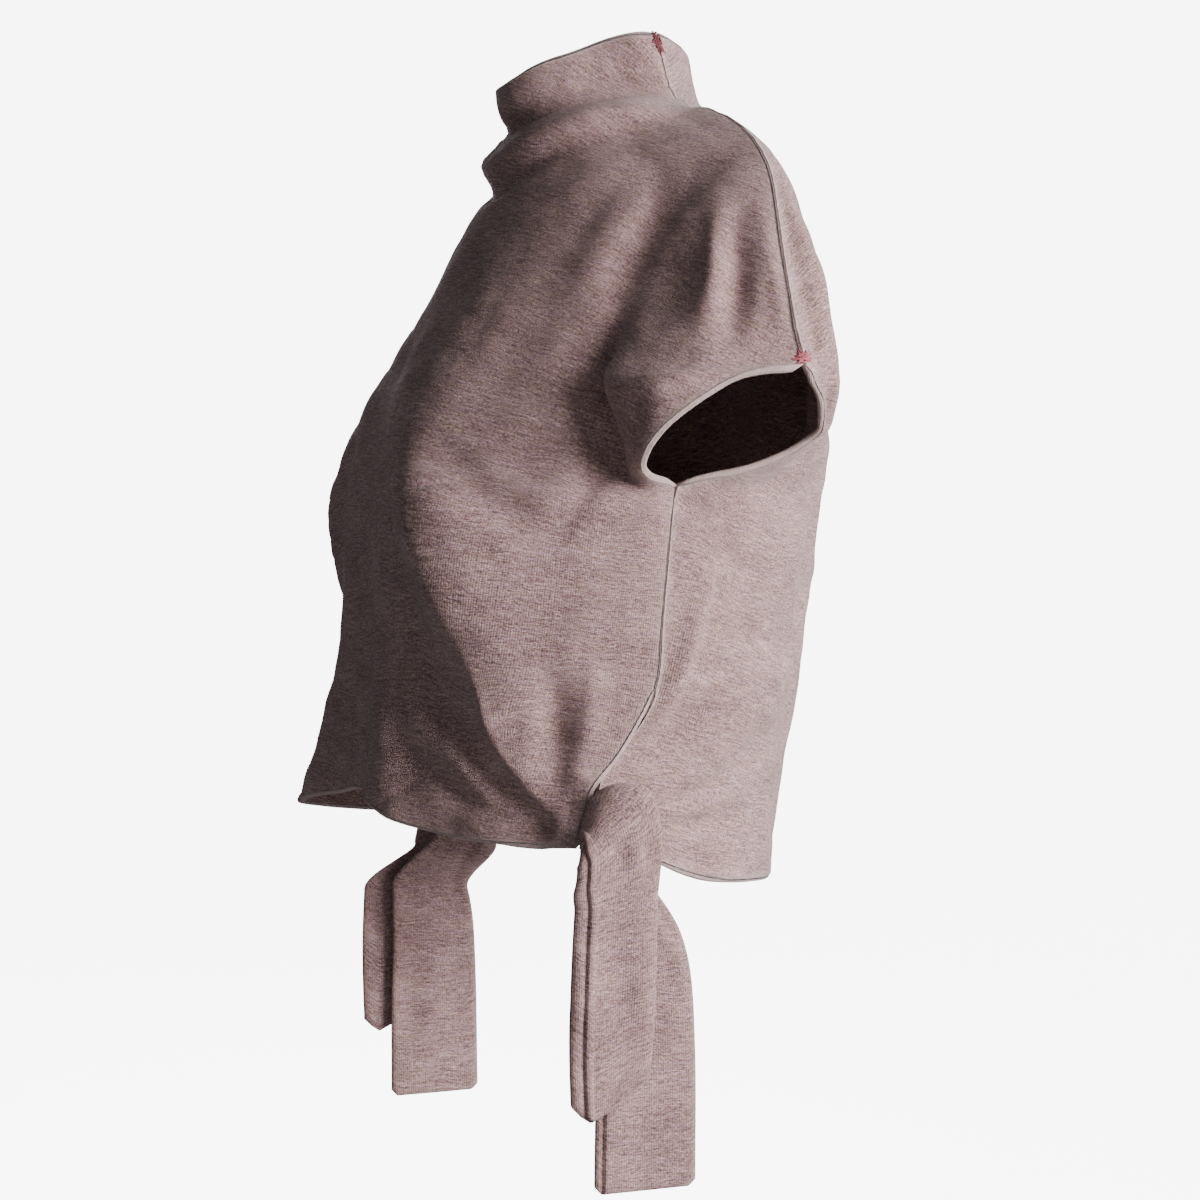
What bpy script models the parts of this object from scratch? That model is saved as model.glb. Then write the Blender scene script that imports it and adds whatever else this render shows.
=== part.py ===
"""Mock neck top with tied sides: a worn, hollow garment of thick heather knit.

Cut of the garment: a front and a back, each in one piece with half of the stand-up neck and half of
both cap sleeves, joined in one line along neck side, shoulder and overarm, and again down the side.
The lowest stretch of each side is open, and the tie on the front's corner is knotted over the tie on
the back's corner.

Frame: +Z up, -Y to the wearer's front, +X to the wearer's left. The origin is the middle of the ring
where the neck stands on the shoulders. The tables are in millimetres, for the left half.
"""

import math
from collections import namedtuple

import bpy
import numpy as np

MM = 0.001
COLLECTION = "mock_neck_top"

# Driving sizes, in millimetres.
CLOTH = 2.4
SEAM_GAP = 0.3
TIE_THICKNESS = 5.0

# How finely the surfaces are divided.
ROW_STEP = 19.0
BODY_COLUMNS = 11
SLEEVE_COLUMNS = 10
TIE_COLUMNS = 4
TIE_ROWS_PER_LINE = 3
CURVE_POINTS = 160
SLEEVE_POINTS = 60
SOFTENED_POINTS = 400
FOLD_POINTS = 25

# How softly the cloth bends: a row's corners are rounded over CORNER_SOFTNESS, folds die away within
# SEAM_CALM of an edge, a curve's slope at a row is at most STEEPEST times the slopes beside it, and a
# seam is mitred for a bend of up to MAX_SEAM_TURN radians.
CORNER_SOFTNESS = 5.0
SEAM_CALM = 30.0
STEEPEST = 3.0
MAX_SEAM_TURN = 1.0

# The hanging ends of the right-hand ties lie further forward, from SWING_TOP down over SWING_DEPTH.
RIGHT_TAIL_SWING = -38.0
SWING_TOP = -490.0
SWING_DEPTH = 40.0

# The neck's cheek heights are read at this share of the way from the centre front to its side seam.
CHEEK_PLACE = 0.45

# The stand-up neck, rim to base: each ring is an oval about the vertical, front and back are y at
# its centres, half_width is x at its widest, and its side seam is at seam_y.
NeckRing = namedtuple("NeckRing", "name z_front z_cheek z_seam z_back front back half_width seam_y")
NECK = [
    NeckRing("rim", 9, 24, 40, 31, -70, 58, 57, 16),
    NeckRing("band", -5, 8, 20, 17, -69, 61, 58, 22),
    NeckRing("crease", -19, -6, 1, 4, -63, 66, 60, 28),
    NeckRing("roll_top", -31, -11, -4, -5, -70, 71, 70, 32),
    NeckRing("roll_face", -47, -20, -9, -14, -74, 75, 81, 36),
]

# Front rows below the neck. From the centre front a row is a quarter of a superellipse, depth deep at
# the centre, to the trough between body and sleeve, and goes on by the sleeve's lobe and outer side
# to its edge: the shoulder seam, then the sleeve hem. Below the sleeve it runs straight to the edge:
# the side seam, then the open slit. z_mid is the height at the trough, body the trough's place
# along a row that has none.
FrontRow = namedtuple("FrontRow", "name z_front z_mid z_edge depth power body trough lobe outer edge")
FRONT = [
    FrontRow("roll_foot", -63, -34, -14, 77, 1.9, None, (84, -14), (91, 3), (94, 22), (95, 42)),
    FrontRow("shoulder_1", -79, -50, -28, 87, 1.8, None, (104, -8), (115, 12), (122, 31), (125, 50)),
    FrontRow("shoulder_2", -94, -68, -45, 95, 1.8, None, (118, 0), (132, 18), (144, 36), (150, 53)),
    FrontRow("shoulder_3", -108, -86, -63, 102, 1.8, None, (125, -7), (145, 9), (161, 30), (168, 54)),
    FrontRow("cap_1", -124, -108, -88, 109, 1.9, None, (130, -16), (154, 2), (175, 24), (184, 52)),
    FrontRow("cap_2", -140, -130, -114, 117, 2.0, None, (135, -25), (161, -10), (188, 15), (198, 50)),
    FrontRow("cap_3", -160, -153, -144, 127, 2.1, None, (140, -33), (168, -26), (201, 4), (213, 49)),
    FrontRow("cap_4", -177, -174, -168, 135, 2.2, None, (144, -37), (175, -43), (210, -8), (223, 49)),
    FrontRow("sleeve_tip", -193, -191, -188, 143, 2.3, None, (147, -38), (180, -57), (216, -20), (232, 52)),
    FrontRow("hem_top", -206, -201, -188, 148, 2.35, None, (149, -38), (184, -58), (219, -34), (229, 24)),
    FrontRow("hem_front", -219, -215, -206, 152, 2.4, None, (151, -36), (185, -51), (210, -40), (222, -8)),
    FrontRow("hem_low", -232, -230, -225, 155, 2.4, None, (154, -34), (182, -44), (199, -42), (209, -30)),
    FrontRow("hem_corner", -244, -246, -244, 157, 2.4, None, (159, -33), (178, -40), (188, -41), (194, -37)),
    FrontRow("hem_under", -255, -256, -252, 158, 2.5, None, (164, -30), (171, -31), (176, -30), (180, -26)),
    FrontRow("underarm", -266, -264, -256, 159, 2.5, 0.91, None, None, None, (170, -7)),
    FrontRow("ribs", -300, -299, -295, 159, 2.5, 0.84, None, None, None, (168, -11)),
    FrontRow("waist", -342, -341, -338, 158, 2.2, 0.76, None, None, None, (169, -15.5)),
    FrontRow("slit_top", -379, -380, -379, 160, 2.0, 0.70, None, None, None, (172, -21)),
    FrontRow("slit_mid", -398, -402, -401, 162, 1.95, 0.67, None, None, None, (175.5, -34)),
    FrontRow("slit_low", -416, -423, -420, 164, 1.9, 0.65, None, None, None, (177, -47)),
    FrontRow("tie_top", -430, -444, -437, 166, 1.85, 0.63, None, None, None, (177.5, -62)),
    FrontRow("hem", -446, -470, -472, 168, 1.8, 0.62, None, None, None, (177, -71)),
]

# Back rows on the same levels. A row whose edge is None shares the front's edge.
BackRow = namedtuple("BackRow", "name z_back z_mid z_edge depth power body trough lobe edge")
BACK = [
    BackRow("roll_foot", -27, -20, None, 80, 2.0, None, (86, 58), (93, 50), None),
    BackRow("shoulder_1", -42, -35, None, 86, 2.2, None, (109, 68), (121, 60), None),
    BackRow("shoulder_2", -58, -53, None, 92, 2.3, None, (128, 73), (144, 66), None),
    BackRow("shoulder_3", -75, -71, None, 98, 2.4, None, (140, 78), (161, 69), None),
    BackRow("cap_1", -97, -94, None, 104, 2.4, None, (150, 83), (177, 72), None),
    BackRow("cap_2", -120, -119, None, 109, 2.4, None, (158, 86), (190, 75), None),
    BackRow("cap_3", -147, -147, None, 113, 2.4, None, (165, 86), (204, 77), None),
    BackRow("cap_4", -170, -171, None, 116, 2.4, None, (169, 85), (211, 79), None),
    BackRow("sleeve_tip", -189, -191, None, 118, 2.4, None, (171, 84), (216, 80), None),
    BackRow("hem_top", -200, -202, -200, 119, 2.4, None, (171, 83), (213, 81), (226, 60)),
    BackRow("hem_back", -212, -214, -212, 120, 2.4, None, (171, 81), (206, 80), (217, 70)),
    BackRow("hem_low", -224, -226, -223, 124, 2.4, None, (170, 80), (195, 80), (205, 74)),
    BackRow("hem_corner", -237, -238, -235, 125, 2.4, None, (169, 70), (183, 68), (192, 62)),
    BackRow("hem_under", -250, -250, -248, 126, 2.4, None, (167, 54), (174, 46), (181, 32)),
    BackRow("underarm", -264, -263, None, 126, 2.4, 0.88, None, None, None),
    BackRow("ribs", -300, -300, None, 125, 2.4, 0.80, None, None, None),
    BackRow("waist", -345, -344, None, 120, 2.4, 0.74, None, None, None),
    BackRow("slit_top", -390, -386, None, 114, 2.4, 0.70, None, None, None),
    BackRow("slit_mid", -416, -410, -402, 110, 2.4, 0.69, None, None, (169, -33)),
    BackRow("slit_low", -442, -433, -424, 107, 2.4, 0.68, None, None, (169.5, -52)),
    BackRow("tie_top", -467, -457, -440, 104, 2.4, 0.68, None, None, (170, -58)),
    BackRow("hem", -502, -498, -474, 100, 2.4, 0.68, None, None, (168, -44)),
]
SLEEVE_TIP_ROW = "sleeve_tip"
UNDERARM_ROW = "underarm"
SLIT_TOP_ROW = "slit_top"

# The largest folds, each by the line of its crest on the left half: rise is its height off the cloth
# at start, middle and end, below zero for a valley. width is from the crest to where it has died away.
Fold = namedtuple("Fold", "name width rise start middle end")
FRONT_FOLDS = [
    Fold("bust", 75, (0, 8, 0), (62, -118, -125), (75, -142, -212), (80, -158, -300)),
    Fold("flare", 55, (0, 14, 41), (38, -160, -262), (70, -158, -360), (92, -146, -480)),
    Fold("centre_valley", 42, (0, -5, -6), (0, -150, -250), (0, -158, -350), (0, -164, -480)),
    Fold("knot_pull", 30, (0, -5, -8), (110, -125, -330), (132, -112, -400), (160, -90, -455)),
]
BACK_FOLDS = [
    Fold("spine", 55, (0, -5, -3), (0, 95, -90), (0, 118, -210), (0, 110, -400)),
    Fold("back_pull", 30, (0, -5, -8), (105, 118, -350), (135, 85, -415), (160, 10, -475)),
    Fold("blade", 60, (0, 8, 0), (80, 100, -110), (92, 105, -220), (95, 110, -340)),
]

# A tie, from its root on the panel's corner to its end: centre, the way across it, its width.
TieRow = namedtuple("TieRow", "name centre across width")
TIE_FRONT = [
    TieRow("root", (177.5, -65.5, -455), (0, 0.26, 1.0), 33),
    TieRow("rise", (187, -56, -452), (0.1, 0.3, 1.0), 34),
    TieRow("over_knot", (193, -46, -458), (0.1, 0.8, 0.8), 40),
    TieRow("turn", (193, -45, -476), (0, 1.0, 0.35), 48),
    TieRow("fall", (190, -48, -505), (0, 1.0, 0.05), 50),
    TieRow("middle", (188, -51, -565), (0, 1.0, 0.0), 52),
    TieRow("end", (187, -52, -629), (0, 1.0, 0.3), 46),
]
TIE_BACK = [
    TieRow("root", (170, -53.0, -457), (0, 0.4, -1.0), 30),
    TieRow("turn", (172, -47, -478), (0, 1.0, -0.6), 38),
    TieRow("fall", (177, -34, -520), (0, 1.0, -0.1), 54),
    TieRow("middle", (178, -29, -590), (0, 1.0, 0.0), 62),
    TieRow("end", (176, -29, -676), (0, 1.0, 0.05), 64),
]

KNIT_COLOUR = (0.330, 0.262, 0.252, 1.0)
KNIT_ROUGHNESS = 0.95


def superellipse_arc(reach, depth, power):
    """Quarter of a superellipse about the origin from (0, depth) to the point reach, as an array."""
    reach_x, reach_y = reach
    share = min(abs(reach_y) / depth, 1.0)
    half_width = reach_x / (1.0 - share ** power) ** (1.0 / power)
    last = math.acos(share ** (power / 2.0))
    angle = np.linspace(0.0, last, CURVE_POINTS)
    x = half_width * np.sin(angle) ** (2.0 / power)
    y = depth * np.cos(angle) ** (2.0 / power)
    return np.column_stack((x, y))


def path_length(points):
    """Length along a path of points from its start to each point."""
    steps = np.linalg.norm(np.diff(points, axis=0), axis=1)
    return np.concatenate(([0.0], np.cumsum(steps)))


def spline(knots, values, places):
    """Smooth curve through values at knots, read at places. It never swings past its values."""
    knots = np.asarray(knots, dtype=float)
    values = np.asarray(values, dtype=float)
    spans = np.diff(knots)
    shape = (-1,) + (1,) * (values.ndim - 1)
    rates = np.diff(values, axis=0) / spans.reshape(shape)
    before = spans[:-1].reshape(shape)
    after = spans[1:].reshape(shape)
    inner = (rates[:-1] * after + rates[1:] * before) / (before + after)
    limit = STEEPEST * np.minimum(np.abs(rates[:-1]), np.abs(rates[1:]))
    inner = np.where(rates[:-1] * rates[1:] > 0.0, np.clip(inner, -limit, limit), 0.0)
    slopes = np.concatenate((rates[:1], inner, rates[-1:]))
    index = np.clip(np.searchsorted(knots, places, side="right") - 1, 0, len(spans) - 1)
    span = spans[index].reshape(shape)
    t = ((places - knots[index]) / spans[index]).reshape(shape)
    return (values[index] * (1 + 2 * t) * (1 - t) ** 2 + slopes[index] * span * t * (1 - t) ** 2
            + values[index + 1] * t * t * (3 - 2 * t) + slopes[index + 1] * span * t * t * (t - 1))


def soften(points, softness):
    """Rounds a path's corners over a length of softness and keeps its two ends."""
    length = path_length(points)
    even = np.linspace(0.0, length[-1], SOFTENED_POINTS)
    path = np.column_stack([np.interp(even, length, points[:, k]) for k in range(2)])
    reach = max(1, int(3 * softness / even[1]))
    ahead = 2 * path[-1] - path[-2:-2 - reach:-1]
    behind = 2 * path[0] - path[reach:0:-1]
    behind[:, 1] = path[reach:0:-1, 1]
    padded = np.concatenate((behind, path, ahead))
    offsets = np.arange(-reach, reach + 1) * even[1]
    weights = np.exp(-0.5 * (offsets / softness) ** 2)
    weights /= weights.sum()
    smooth = [np.convolve(padded[:, k], weights, mode="valid") for k in range(2)]
    return np.column_stack(smooth)


def row_points(path, heights, split, columns):
    """Points along one row: path in x and y, heights at its start, split and end."""
    length = path_length(path)
    total = length[-1]
    body, sleeve = columns
    places = np.concatenate((np.linspace(0.0, split, body + 1), np.linspace(split, 1.0, sleeve + 1)[1:]))
    x = np.interp(places * total, length, path[:, 0])
    y = np.interp(places * total, length, path[:, 1])
    start, middle, end = heights
    z = spline([-split, 0.0, split, 1.0], [middle, start, middle, end], places)
    return np.column_stack((x, y, z))


def neck_row(ring, side, columns):
    """One ring of the neck from its centre front or back to its side seam."""
    middle = 0.5 * (ring.front + ring.back)
    radius = 0.5 * (ring.back - ring.front)
    seam_angle = math.acos((middle - ring.seam_y) / radius)
    start, stop = (0.0, seam_angle) if side == "front" else (math.pi, seam_angle)
    angle = np.linspace(start, stop, sum(columns) + 1)
    x = ring.half_width * np.sin(angle)
    y = middle - radius * np.cos(angle)
    cheek = CHEEK_PLACE * seam_angle
    knots = [-cheek, 0.0, cheek, seam_angle, math.pi, 2.0 * math.pi - seam_angle]
    heights = [ring.z_cheek, ring.z_front, ring.z_cheek, ring.z_seam, ring.z_back, ring.z_seam]
    z = spline(knots, heights, angle)
    return np.column_stack((x, y, z))


def front_row(row, columns):
    """One front row below the neck, from the centre front to its edge."""
    body = superellipse_arc(row.trough or row.edge, row.depth, row.power)
    body[:, 1] *= -1.0
    if not row.trough:
        return row_points(soften(body, CORNER_SOFTNESS), (row.z_front, row.z_mid, row.z_edge),
                          row.body, columns)
    return sleeved_row(body, (row.trough, row.lobe, row.outer, row.edge),
                       (row.z_front, row.z_mid, row.z_edge), columns)


def back_row(row, front, columns):
    """One back row below the neck, from the centre back to its edge."""
    edge = row.edge or front.edge
    z_edge = front.z_edge if row.z_edge is None else row.z_edge
    heights = (row.z_back, row.z_mid, z_edge)
    reach = row.trough or edge
    middle = min(0.0, reach[1])
    body = superellipse_arc((reach[0], reach[1] - middle), row.depth - middle, row.power)
    body[:, 1] += middle
    if not row.trough:
        return row_points(soften(body, CORNER_SOFTNESS), heights, row.body, columns)
    return sleeved_row(body, (row.trough, row.lobe, edge), heights, columns)


def sleeved_row(body, sleeve_points, heights, columns):
    """A row whose body curve goes on round the sleeve by sleeve_points."""
    knots = np.arange(len(sleeve_points))
    sleeve = spline(knots, sleeve_points, np.linspace(0.0, knots[-1], SLEEVE_POINTS))
    path = np.concatenate((body, sleeve[1:]))
    length = path_length(path)
    split = length[len(body) - 1] / length[-1]
    return row_points(soften(path, CORNER_SOFTNESS), heights, split, columns)


def section_grids(columns):
    """Front and back points at every named row: arrays of rows, columns and x, y, z."""
    front = [neck_row(ring, "front", columns) for ring in NECK]
    back = [neck_row(ring, "back", columns) for ring in NECK]
    for front_line, back_line in zip(FRONT, BACK):
        front.append(front_row(front_line, columns))
        back.append(back_row(back_line, front_line, columns))
    return np.array(front), np.array(back)


def refine_rows(front, back, row_step):
    """Adds rows between the named ones about row_step apart, the same for both pieces."""
    both = np.concatenate((front, back), axis=1)
    steps = np.linalg.norm(np.diff(both, axis=0), axis=2).mean(axis=1)
    knots = np.concatenate(([0.0], np.cumsum(steps)))
    places = [0.0]
    for start, step in zip(knots[:-1], steps):
        count = max(1, round(step / row_step))
        places.extend(start + step * (k + 1) / count for k in range(count))
    places = np.array(places)
    return spline(knots, front, places), spline(knots, back, places), knots, places


def surface_normals(grid, facing):
    """Outward normals of a grid of the left half. facing is -1 for the front and 1 for the back."""
    down = np.gradient(grid, axis=0)
    across = np.gradient(grid, axis=1)
    normals = np.cross(across, down) * facing
    return normals / np.maximum(np.linalg.norm(normals, axis=2, keepdims=True), 1e-9)


def fold_line(fold):
    """Points along a fold's crest: a smooth curve by its start, middle and end."""
    places = np.linspace(0.0, 2.0, FOLD_POINTS)
    return spline([0.0, 1.0, 2.0], [fold.start, fold.middle, fold.end], places)


def distance_to_line(points, line):
    """Distance from each point to a line of points, and how far along the line it is, 0 to 1."""
    starts = line[:-1]
    spans = line[1:] - starts
    offset = points[..., None, :] - starts
    share = np.clip((offset * spans).sum(-1) / np.maximum((spans * spans).sum(-1), 1e-6), 0.0, 1.0)
    gap = np.linalg.norm(offset - share[..., None] * spans, axis=-1)
    nearest = gap.argmin(axis=-1)
    along = (nearest + np.take_along_axis(share, nearest[..., None], -1)[..., 0]) / len(spans)
    return gap.min(axis=-1), along


def snapped(line, grid):
    """The line's points moved onto the nearest points of a grid."""
    flat = grid.reshape(-1, 3)
    return np.array([flat[np.linalg.norm(flat - point, axis=1).argmin()] for point in line])


def smooth_step(value):
    """0 below 0, 1 above 1, and a soft rise between."""
    value = np.clip(value, 0.0, 1.0)
    return value * value * (3.0 - 2.0 * value)


def folded(grid, folds, facing):
    """The grid with its folds raised along its normals. They die away at ends and seams."""
    normals = surface_normals(grid, facing)
    from_edge = np.linalg.norm(grid - grid[:, -1:, :], axis=2)
    rise = np.zeros(grid.shape[:2])
    for fold in folds:
        line = snapped(fold_line(fold), grid)
        gap, along = distance_to_line(grid, line)
        bell = np.cos(0.5 * math.pi * np.clip(gap / fold.width, 0.0, 1.0)) ** 2
        rise += bell * spline([0.0, 0.5, 1.0], fold.rise, along.ravel()).reshape(along.shape)
    rise *= smooth_step(from_edge / SEAM_CALM)
    raised = grid + normals * rise[..., None]
    raised[:, 0, 0] = 0.0
    return raised


def trim_seam(front, back, joined):
    """Cuts both pieces back from their shared seam, more where it turns, so that they stay apart."""
    front = front.copy()
    back = back.copy()
    for row in np.flatnonzero(joined):
        front[row, -1] = 0.5 * (front[row, -1] + back[row, -1])
        back[row, -1] = front[row, -1]
        into_front = front[row, -2] - front[row, -1]
        into_back = back[row, -2] - back[row, -1]
        into_front /= np.linalg.norm(into_front)
        into_back /= np.linalg.norm(into_back)
        turn = math.pi - math.acos(np.clip(into_front @ into_back, -1.0, 1.0))
        cut = 0.5 * SEAM_GAP + CLOTH * math.tan(0.5 * min(turn, MAX_SEAM_TURN))
        front[row, -1] += into_front * cut
        back[row, -1] += into_back * cut
    return front, back


def row_place(name, knots):
    """Place down the garment of the row below the neck that has this name."""
    index = [row.name for row in FRONT].index(name)
    return knots[len(NECK) + index]


def joined_rows(knots, places):
    """Which rows have a shared seam: neck, shoulder and overarm, and the side down to the slit."""
    open_sleeve = ((places > row_place(SLEEVE_TIP_ROW, knots) + 1e-6)
                   & (places < row_place(UNDERARM_ROW, knots) - 1e-6))
    open_slit = places > row_place(SLIT_TOP_ROW, knots) + 1e-6
    return ~(open_sleeve | open_slit)


def grid_mesh(name, grid, flip):
    """A mesh of quads over a grid of points in millimetres."""
    rows, columns = grid.shape[:2]
    vertices = (grid.reshape(-1, 3) * MM).tolist()
    faces = []
    for row in range(rows - 1):
        for column in range(columns - 1):
            a = row * columns + column
            quad = (a, a + columns, a + columns + 1, a + 1)
            faces.append(quad[::-1] if flip else quad)
    mesh = bpy.data.meshes.new(name)
    mesh.from_pydata(vertices, [], faces)
    mesh.shade_smooth()
    return mesh


def add_object(name, mesh, material, collection):
    """A new object in the garment's collection."""
    mesh.materials.append(material)
    piece = bpy.data.objects.new(name, mesh)
    collection.objects.link(piece)
    return piece


def add_thickness(piece, thickness, offset):
    """Turns an open surface into a wall."""
    wall = piece.modifiers.new("Wall", "SOLIDIFY")
    wall.thickness = thickness * MM
    wall.offset = offset
    wall.use_even_offset = True
    wall.use_quality_normals = True


def add_panel(name, grid, flip, material, collection):
    """A panel of the garment: its left half, mirrored, as a wall with its face outside."""
    piece = add_object(name, grid_mesh(name, grid, flip), material, collection)
    mirror = piece.modifiers.new("Other half", "MIRROR")
    mirror.merge_threshold = 0.0001
    add_thickness(piece, CLOTH, -1.0)


def tie_grid(rows, side):
    """Points of a tie: a strip along its centre, columns across it. side is 1 on the left."""
    centres = np.array([row.centre for row in rows], dtype=float)
    across = np.array([row.across for row in rows], dtype=float)
    across /= np.linalg.norm(across, axis=1, keepdims=True)
    half = np.array([0.5 * row.width for row in rows])[:, None] * across
    knots = path_length(centres)
    places = np.linspace(0.0, knots[-1], TIE_ROWS_PER_LINE * len(rows))
    centres = spline(knots, centres, places)
    half = spline(knots, half, places)
    share = np.linspace(-1.0, 1.0, TIE_COLUMNS + 1)
    grid = centres[:, None, :] + share[None, :, None] * half[:, None, :]
    if side < 0:
        grid[..., 1] += RIGHT_TAIL_SWING * smooth_step((SWING_TOP - grid[..., 2]) / SWING_DEPTH)
    grid[..., 0] *= side
    return grid


def knit_material(name):
    """Heather knit as one even colour."""
    material = bpy.data.materials.new(name)
    material.use_nodes = True
    shader = material.node_tree.nodes["Principled BSDF"]
    shader.inputs["Base Color"].default_value = KNIT_COLOUR
    shader.inputs["Roughness"].default_value = KNIT_ROUGHNESS
    shader.inputs["Metallic"].default_value = 0.0
    material.diffuse_color = KNIT_COLOUR
    return material


def build():
    """Builds the garment in an empty scene."""
    for item in list(bpy.data.objects):
        bpy.data.objects.remove(item)
    collection = bpy.data.collections.new(COLLECTION)
    bpy.context.scene.collection.children.link(collection)
    front, back = section_grids((BODY_COLUMNS, SLEEVE_COLUMNS))
    front, back, knots, places = refine_rows(front, back, ROW_STEP)
    front = folded(front, FRONT_FOLDS, -1.0)
    back = folded(back, BACK_FOLDS, 1.0)
    front, back = trim_seam(front, back, joined_rows(knots, places))
    add_panel("front", front, False, knit_material("front_knit"), collection)
    add_panel("back", back, True, knit_material("back_knit"), collection)
    for side_name, side in (("left", 1.0), ("right", -1.0)):
        for tie_name, rows in (("tie_front", TIE_FRONT), ("tie_back", TIE_BACK)):
            name = f"{tie_name}_{side_name}"
            mesh = grid_mesh(name, tie_grid(rows, side), side < 0)
            piece = add_object(name, mesh, knit_material(f"{name}_knit"), collection)
            add_thickness(piece, TIE_THICKNESS, 0.0)


build()
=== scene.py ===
"""Looks of a mock neck top in thick heather knit, worn, with ties knotted at both sides.

Frame: +Z up, -Y to the wearer's front, +X to the wearer's left. Tables are in millimetres. The panels
are generated like the model's solids, from named rows and folds but more finely. They lie closer than
the solids at the fronts of the sleeves, the sides of the neck and the flare on the left, and the front
ties are wider over the slit. The panels then get their creases, hems, rolled edges and flat pattern,
and the knit follows the pattern, as it was cut.
"""

import math
from collections import namedtuple

import bpy
import numpy as np
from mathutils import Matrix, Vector


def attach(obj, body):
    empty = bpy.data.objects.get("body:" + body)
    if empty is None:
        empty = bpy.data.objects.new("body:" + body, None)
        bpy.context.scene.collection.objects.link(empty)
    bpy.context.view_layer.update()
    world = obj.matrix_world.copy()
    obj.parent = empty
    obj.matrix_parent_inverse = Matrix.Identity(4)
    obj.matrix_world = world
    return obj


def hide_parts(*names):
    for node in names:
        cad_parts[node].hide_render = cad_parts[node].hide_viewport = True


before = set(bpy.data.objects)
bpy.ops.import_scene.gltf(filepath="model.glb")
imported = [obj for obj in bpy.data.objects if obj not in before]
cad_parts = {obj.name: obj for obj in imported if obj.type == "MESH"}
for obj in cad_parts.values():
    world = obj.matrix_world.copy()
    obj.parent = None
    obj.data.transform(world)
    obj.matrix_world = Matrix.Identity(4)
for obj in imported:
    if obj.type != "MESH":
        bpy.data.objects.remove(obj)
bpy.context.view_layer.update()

MM = 0.001

# Driving sizes, in millimetres: the cloth and its turned hems, the groove between two sewn panels, and
# how round their edges are there.
CLOTH = 2.3
HEM_CLOTH = 4.4
SLIT_CLOTH = 3.4
HEM_DEPTH = 24.0
SLIT_HEM_DEPTH = 9.0
SEAM_GAP = 0.1
SEAM_ROUND = 0.32

# A hem stands HEM_LIFT proud, ends softly over HEM_FADE, and is dented along its blind stitches. The
# slit's hem starts SLIT_HEM_START below the top of the slit.
HEM_LIFT = 0.35
HEM_FADE = 4.0
STITCH_DENT = 0.45
STITCH_SPACING = 6.5
STITCH_REACH = 2.6
SLIT_HEM_START = 4.0

# How finely the surfaces are divided.
ROW_STEP = 3.6
BODY_COLUMNS = 60
SLEEVE_COLUMNS = 48
CURVE_POINTS = 400
SLEEVE_POINTS = 160
SOFTENED_POINTS = 400
FOLD_POINTS = 25
CREASE_STEP = 4.0
PATTERN_STEP = 4
ROUND_STEPS = 5
TIE_POINTS = 76
TIE_STEP = 2.6

# How softly the cloth bends: a row's corners are rounded over CORNER_SOFTNESS, folds die away within
# SEAM_CALM of an edge and creases within CREASE_CALM of a seam, a curve's slope at a row is at most
# STEEPEST times the slopes beside it, and a seam is mitred for a bend of up to MAX_SEAM_TURN radians.
# Points within EDGE_REACH of an edge move with it, and its direction is read over EDGE_STEP. The flat
# pattern stands upright by its centre line from row UPRIGHT_FROM of its coarse rows on.
CORNER_SOFTNESS = 5.0
SEAM_CALM = 30.0
CREASE_CALM = 7.0
STEEPEST = 3.0
MAX_SEAM_TURN = 1.0
EDGE_REACH = 16.0
EDGE_STEP = 5.0
EVENING_PASSES = 5
STRETCH_PASSES = 60
UPRIGHT_FROM = 9

# The hanging ends of the right-hand ties lie further forward, from SWING_TOP down over SWING_DEPTH.
RIGHT_TAIL_SWING = -38.0
SWING_TOP = -490.0
SWING_DEPTH = 40.0

# The neck's cheek heights are read at CHEEK_PLACE of the way from the centre front to its side seam. Its
# sides are flatter than an oval by NECK_FLAT of its radius, at most where the way to the seam, to the
# power of NECK_FLAT_PLACE, is half. At the seam they meet in a soft corner, NECK_CORNER proud.
CHEEK_PLACE = 0.45
NECK_FLAT = 0.17
NECK_FLAT_PLACE = 1.5
NECK_CORNER = 0.08
NECK_CORNER_WIDTH = 0.3

# The stand-up neck, rim to base: each ring is an oval about the vertical, front and back are y at
# its centres, half_width is x at its widest, its side seam is at seam_y, and flat is its share of the
# flattening.
NeckRing = namedtuple("NeckRing", "name z_front z_cheek z_seam z_back front back half_width seam_y flat")
NECK = [
    NeckRing("rim", 9, 24, 40, 31, -70, 58, 57, 16, 1.0),
    NeckRing("band", -5, 8, 20, 17, -69, 61, 58, 22, 1.0),
    NeckRing("crease", -19, -6, 1, 4, -63, 66, 60, 28, 0.7),
    NeckRing("roll_top", -31, -11, -4, -5, -70, 71, 70, 32, 0.3),
    NeckRing("roll_face", -47, -20, -9, -14, -74, 75, 81, 36, 0.0),
]

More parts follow.
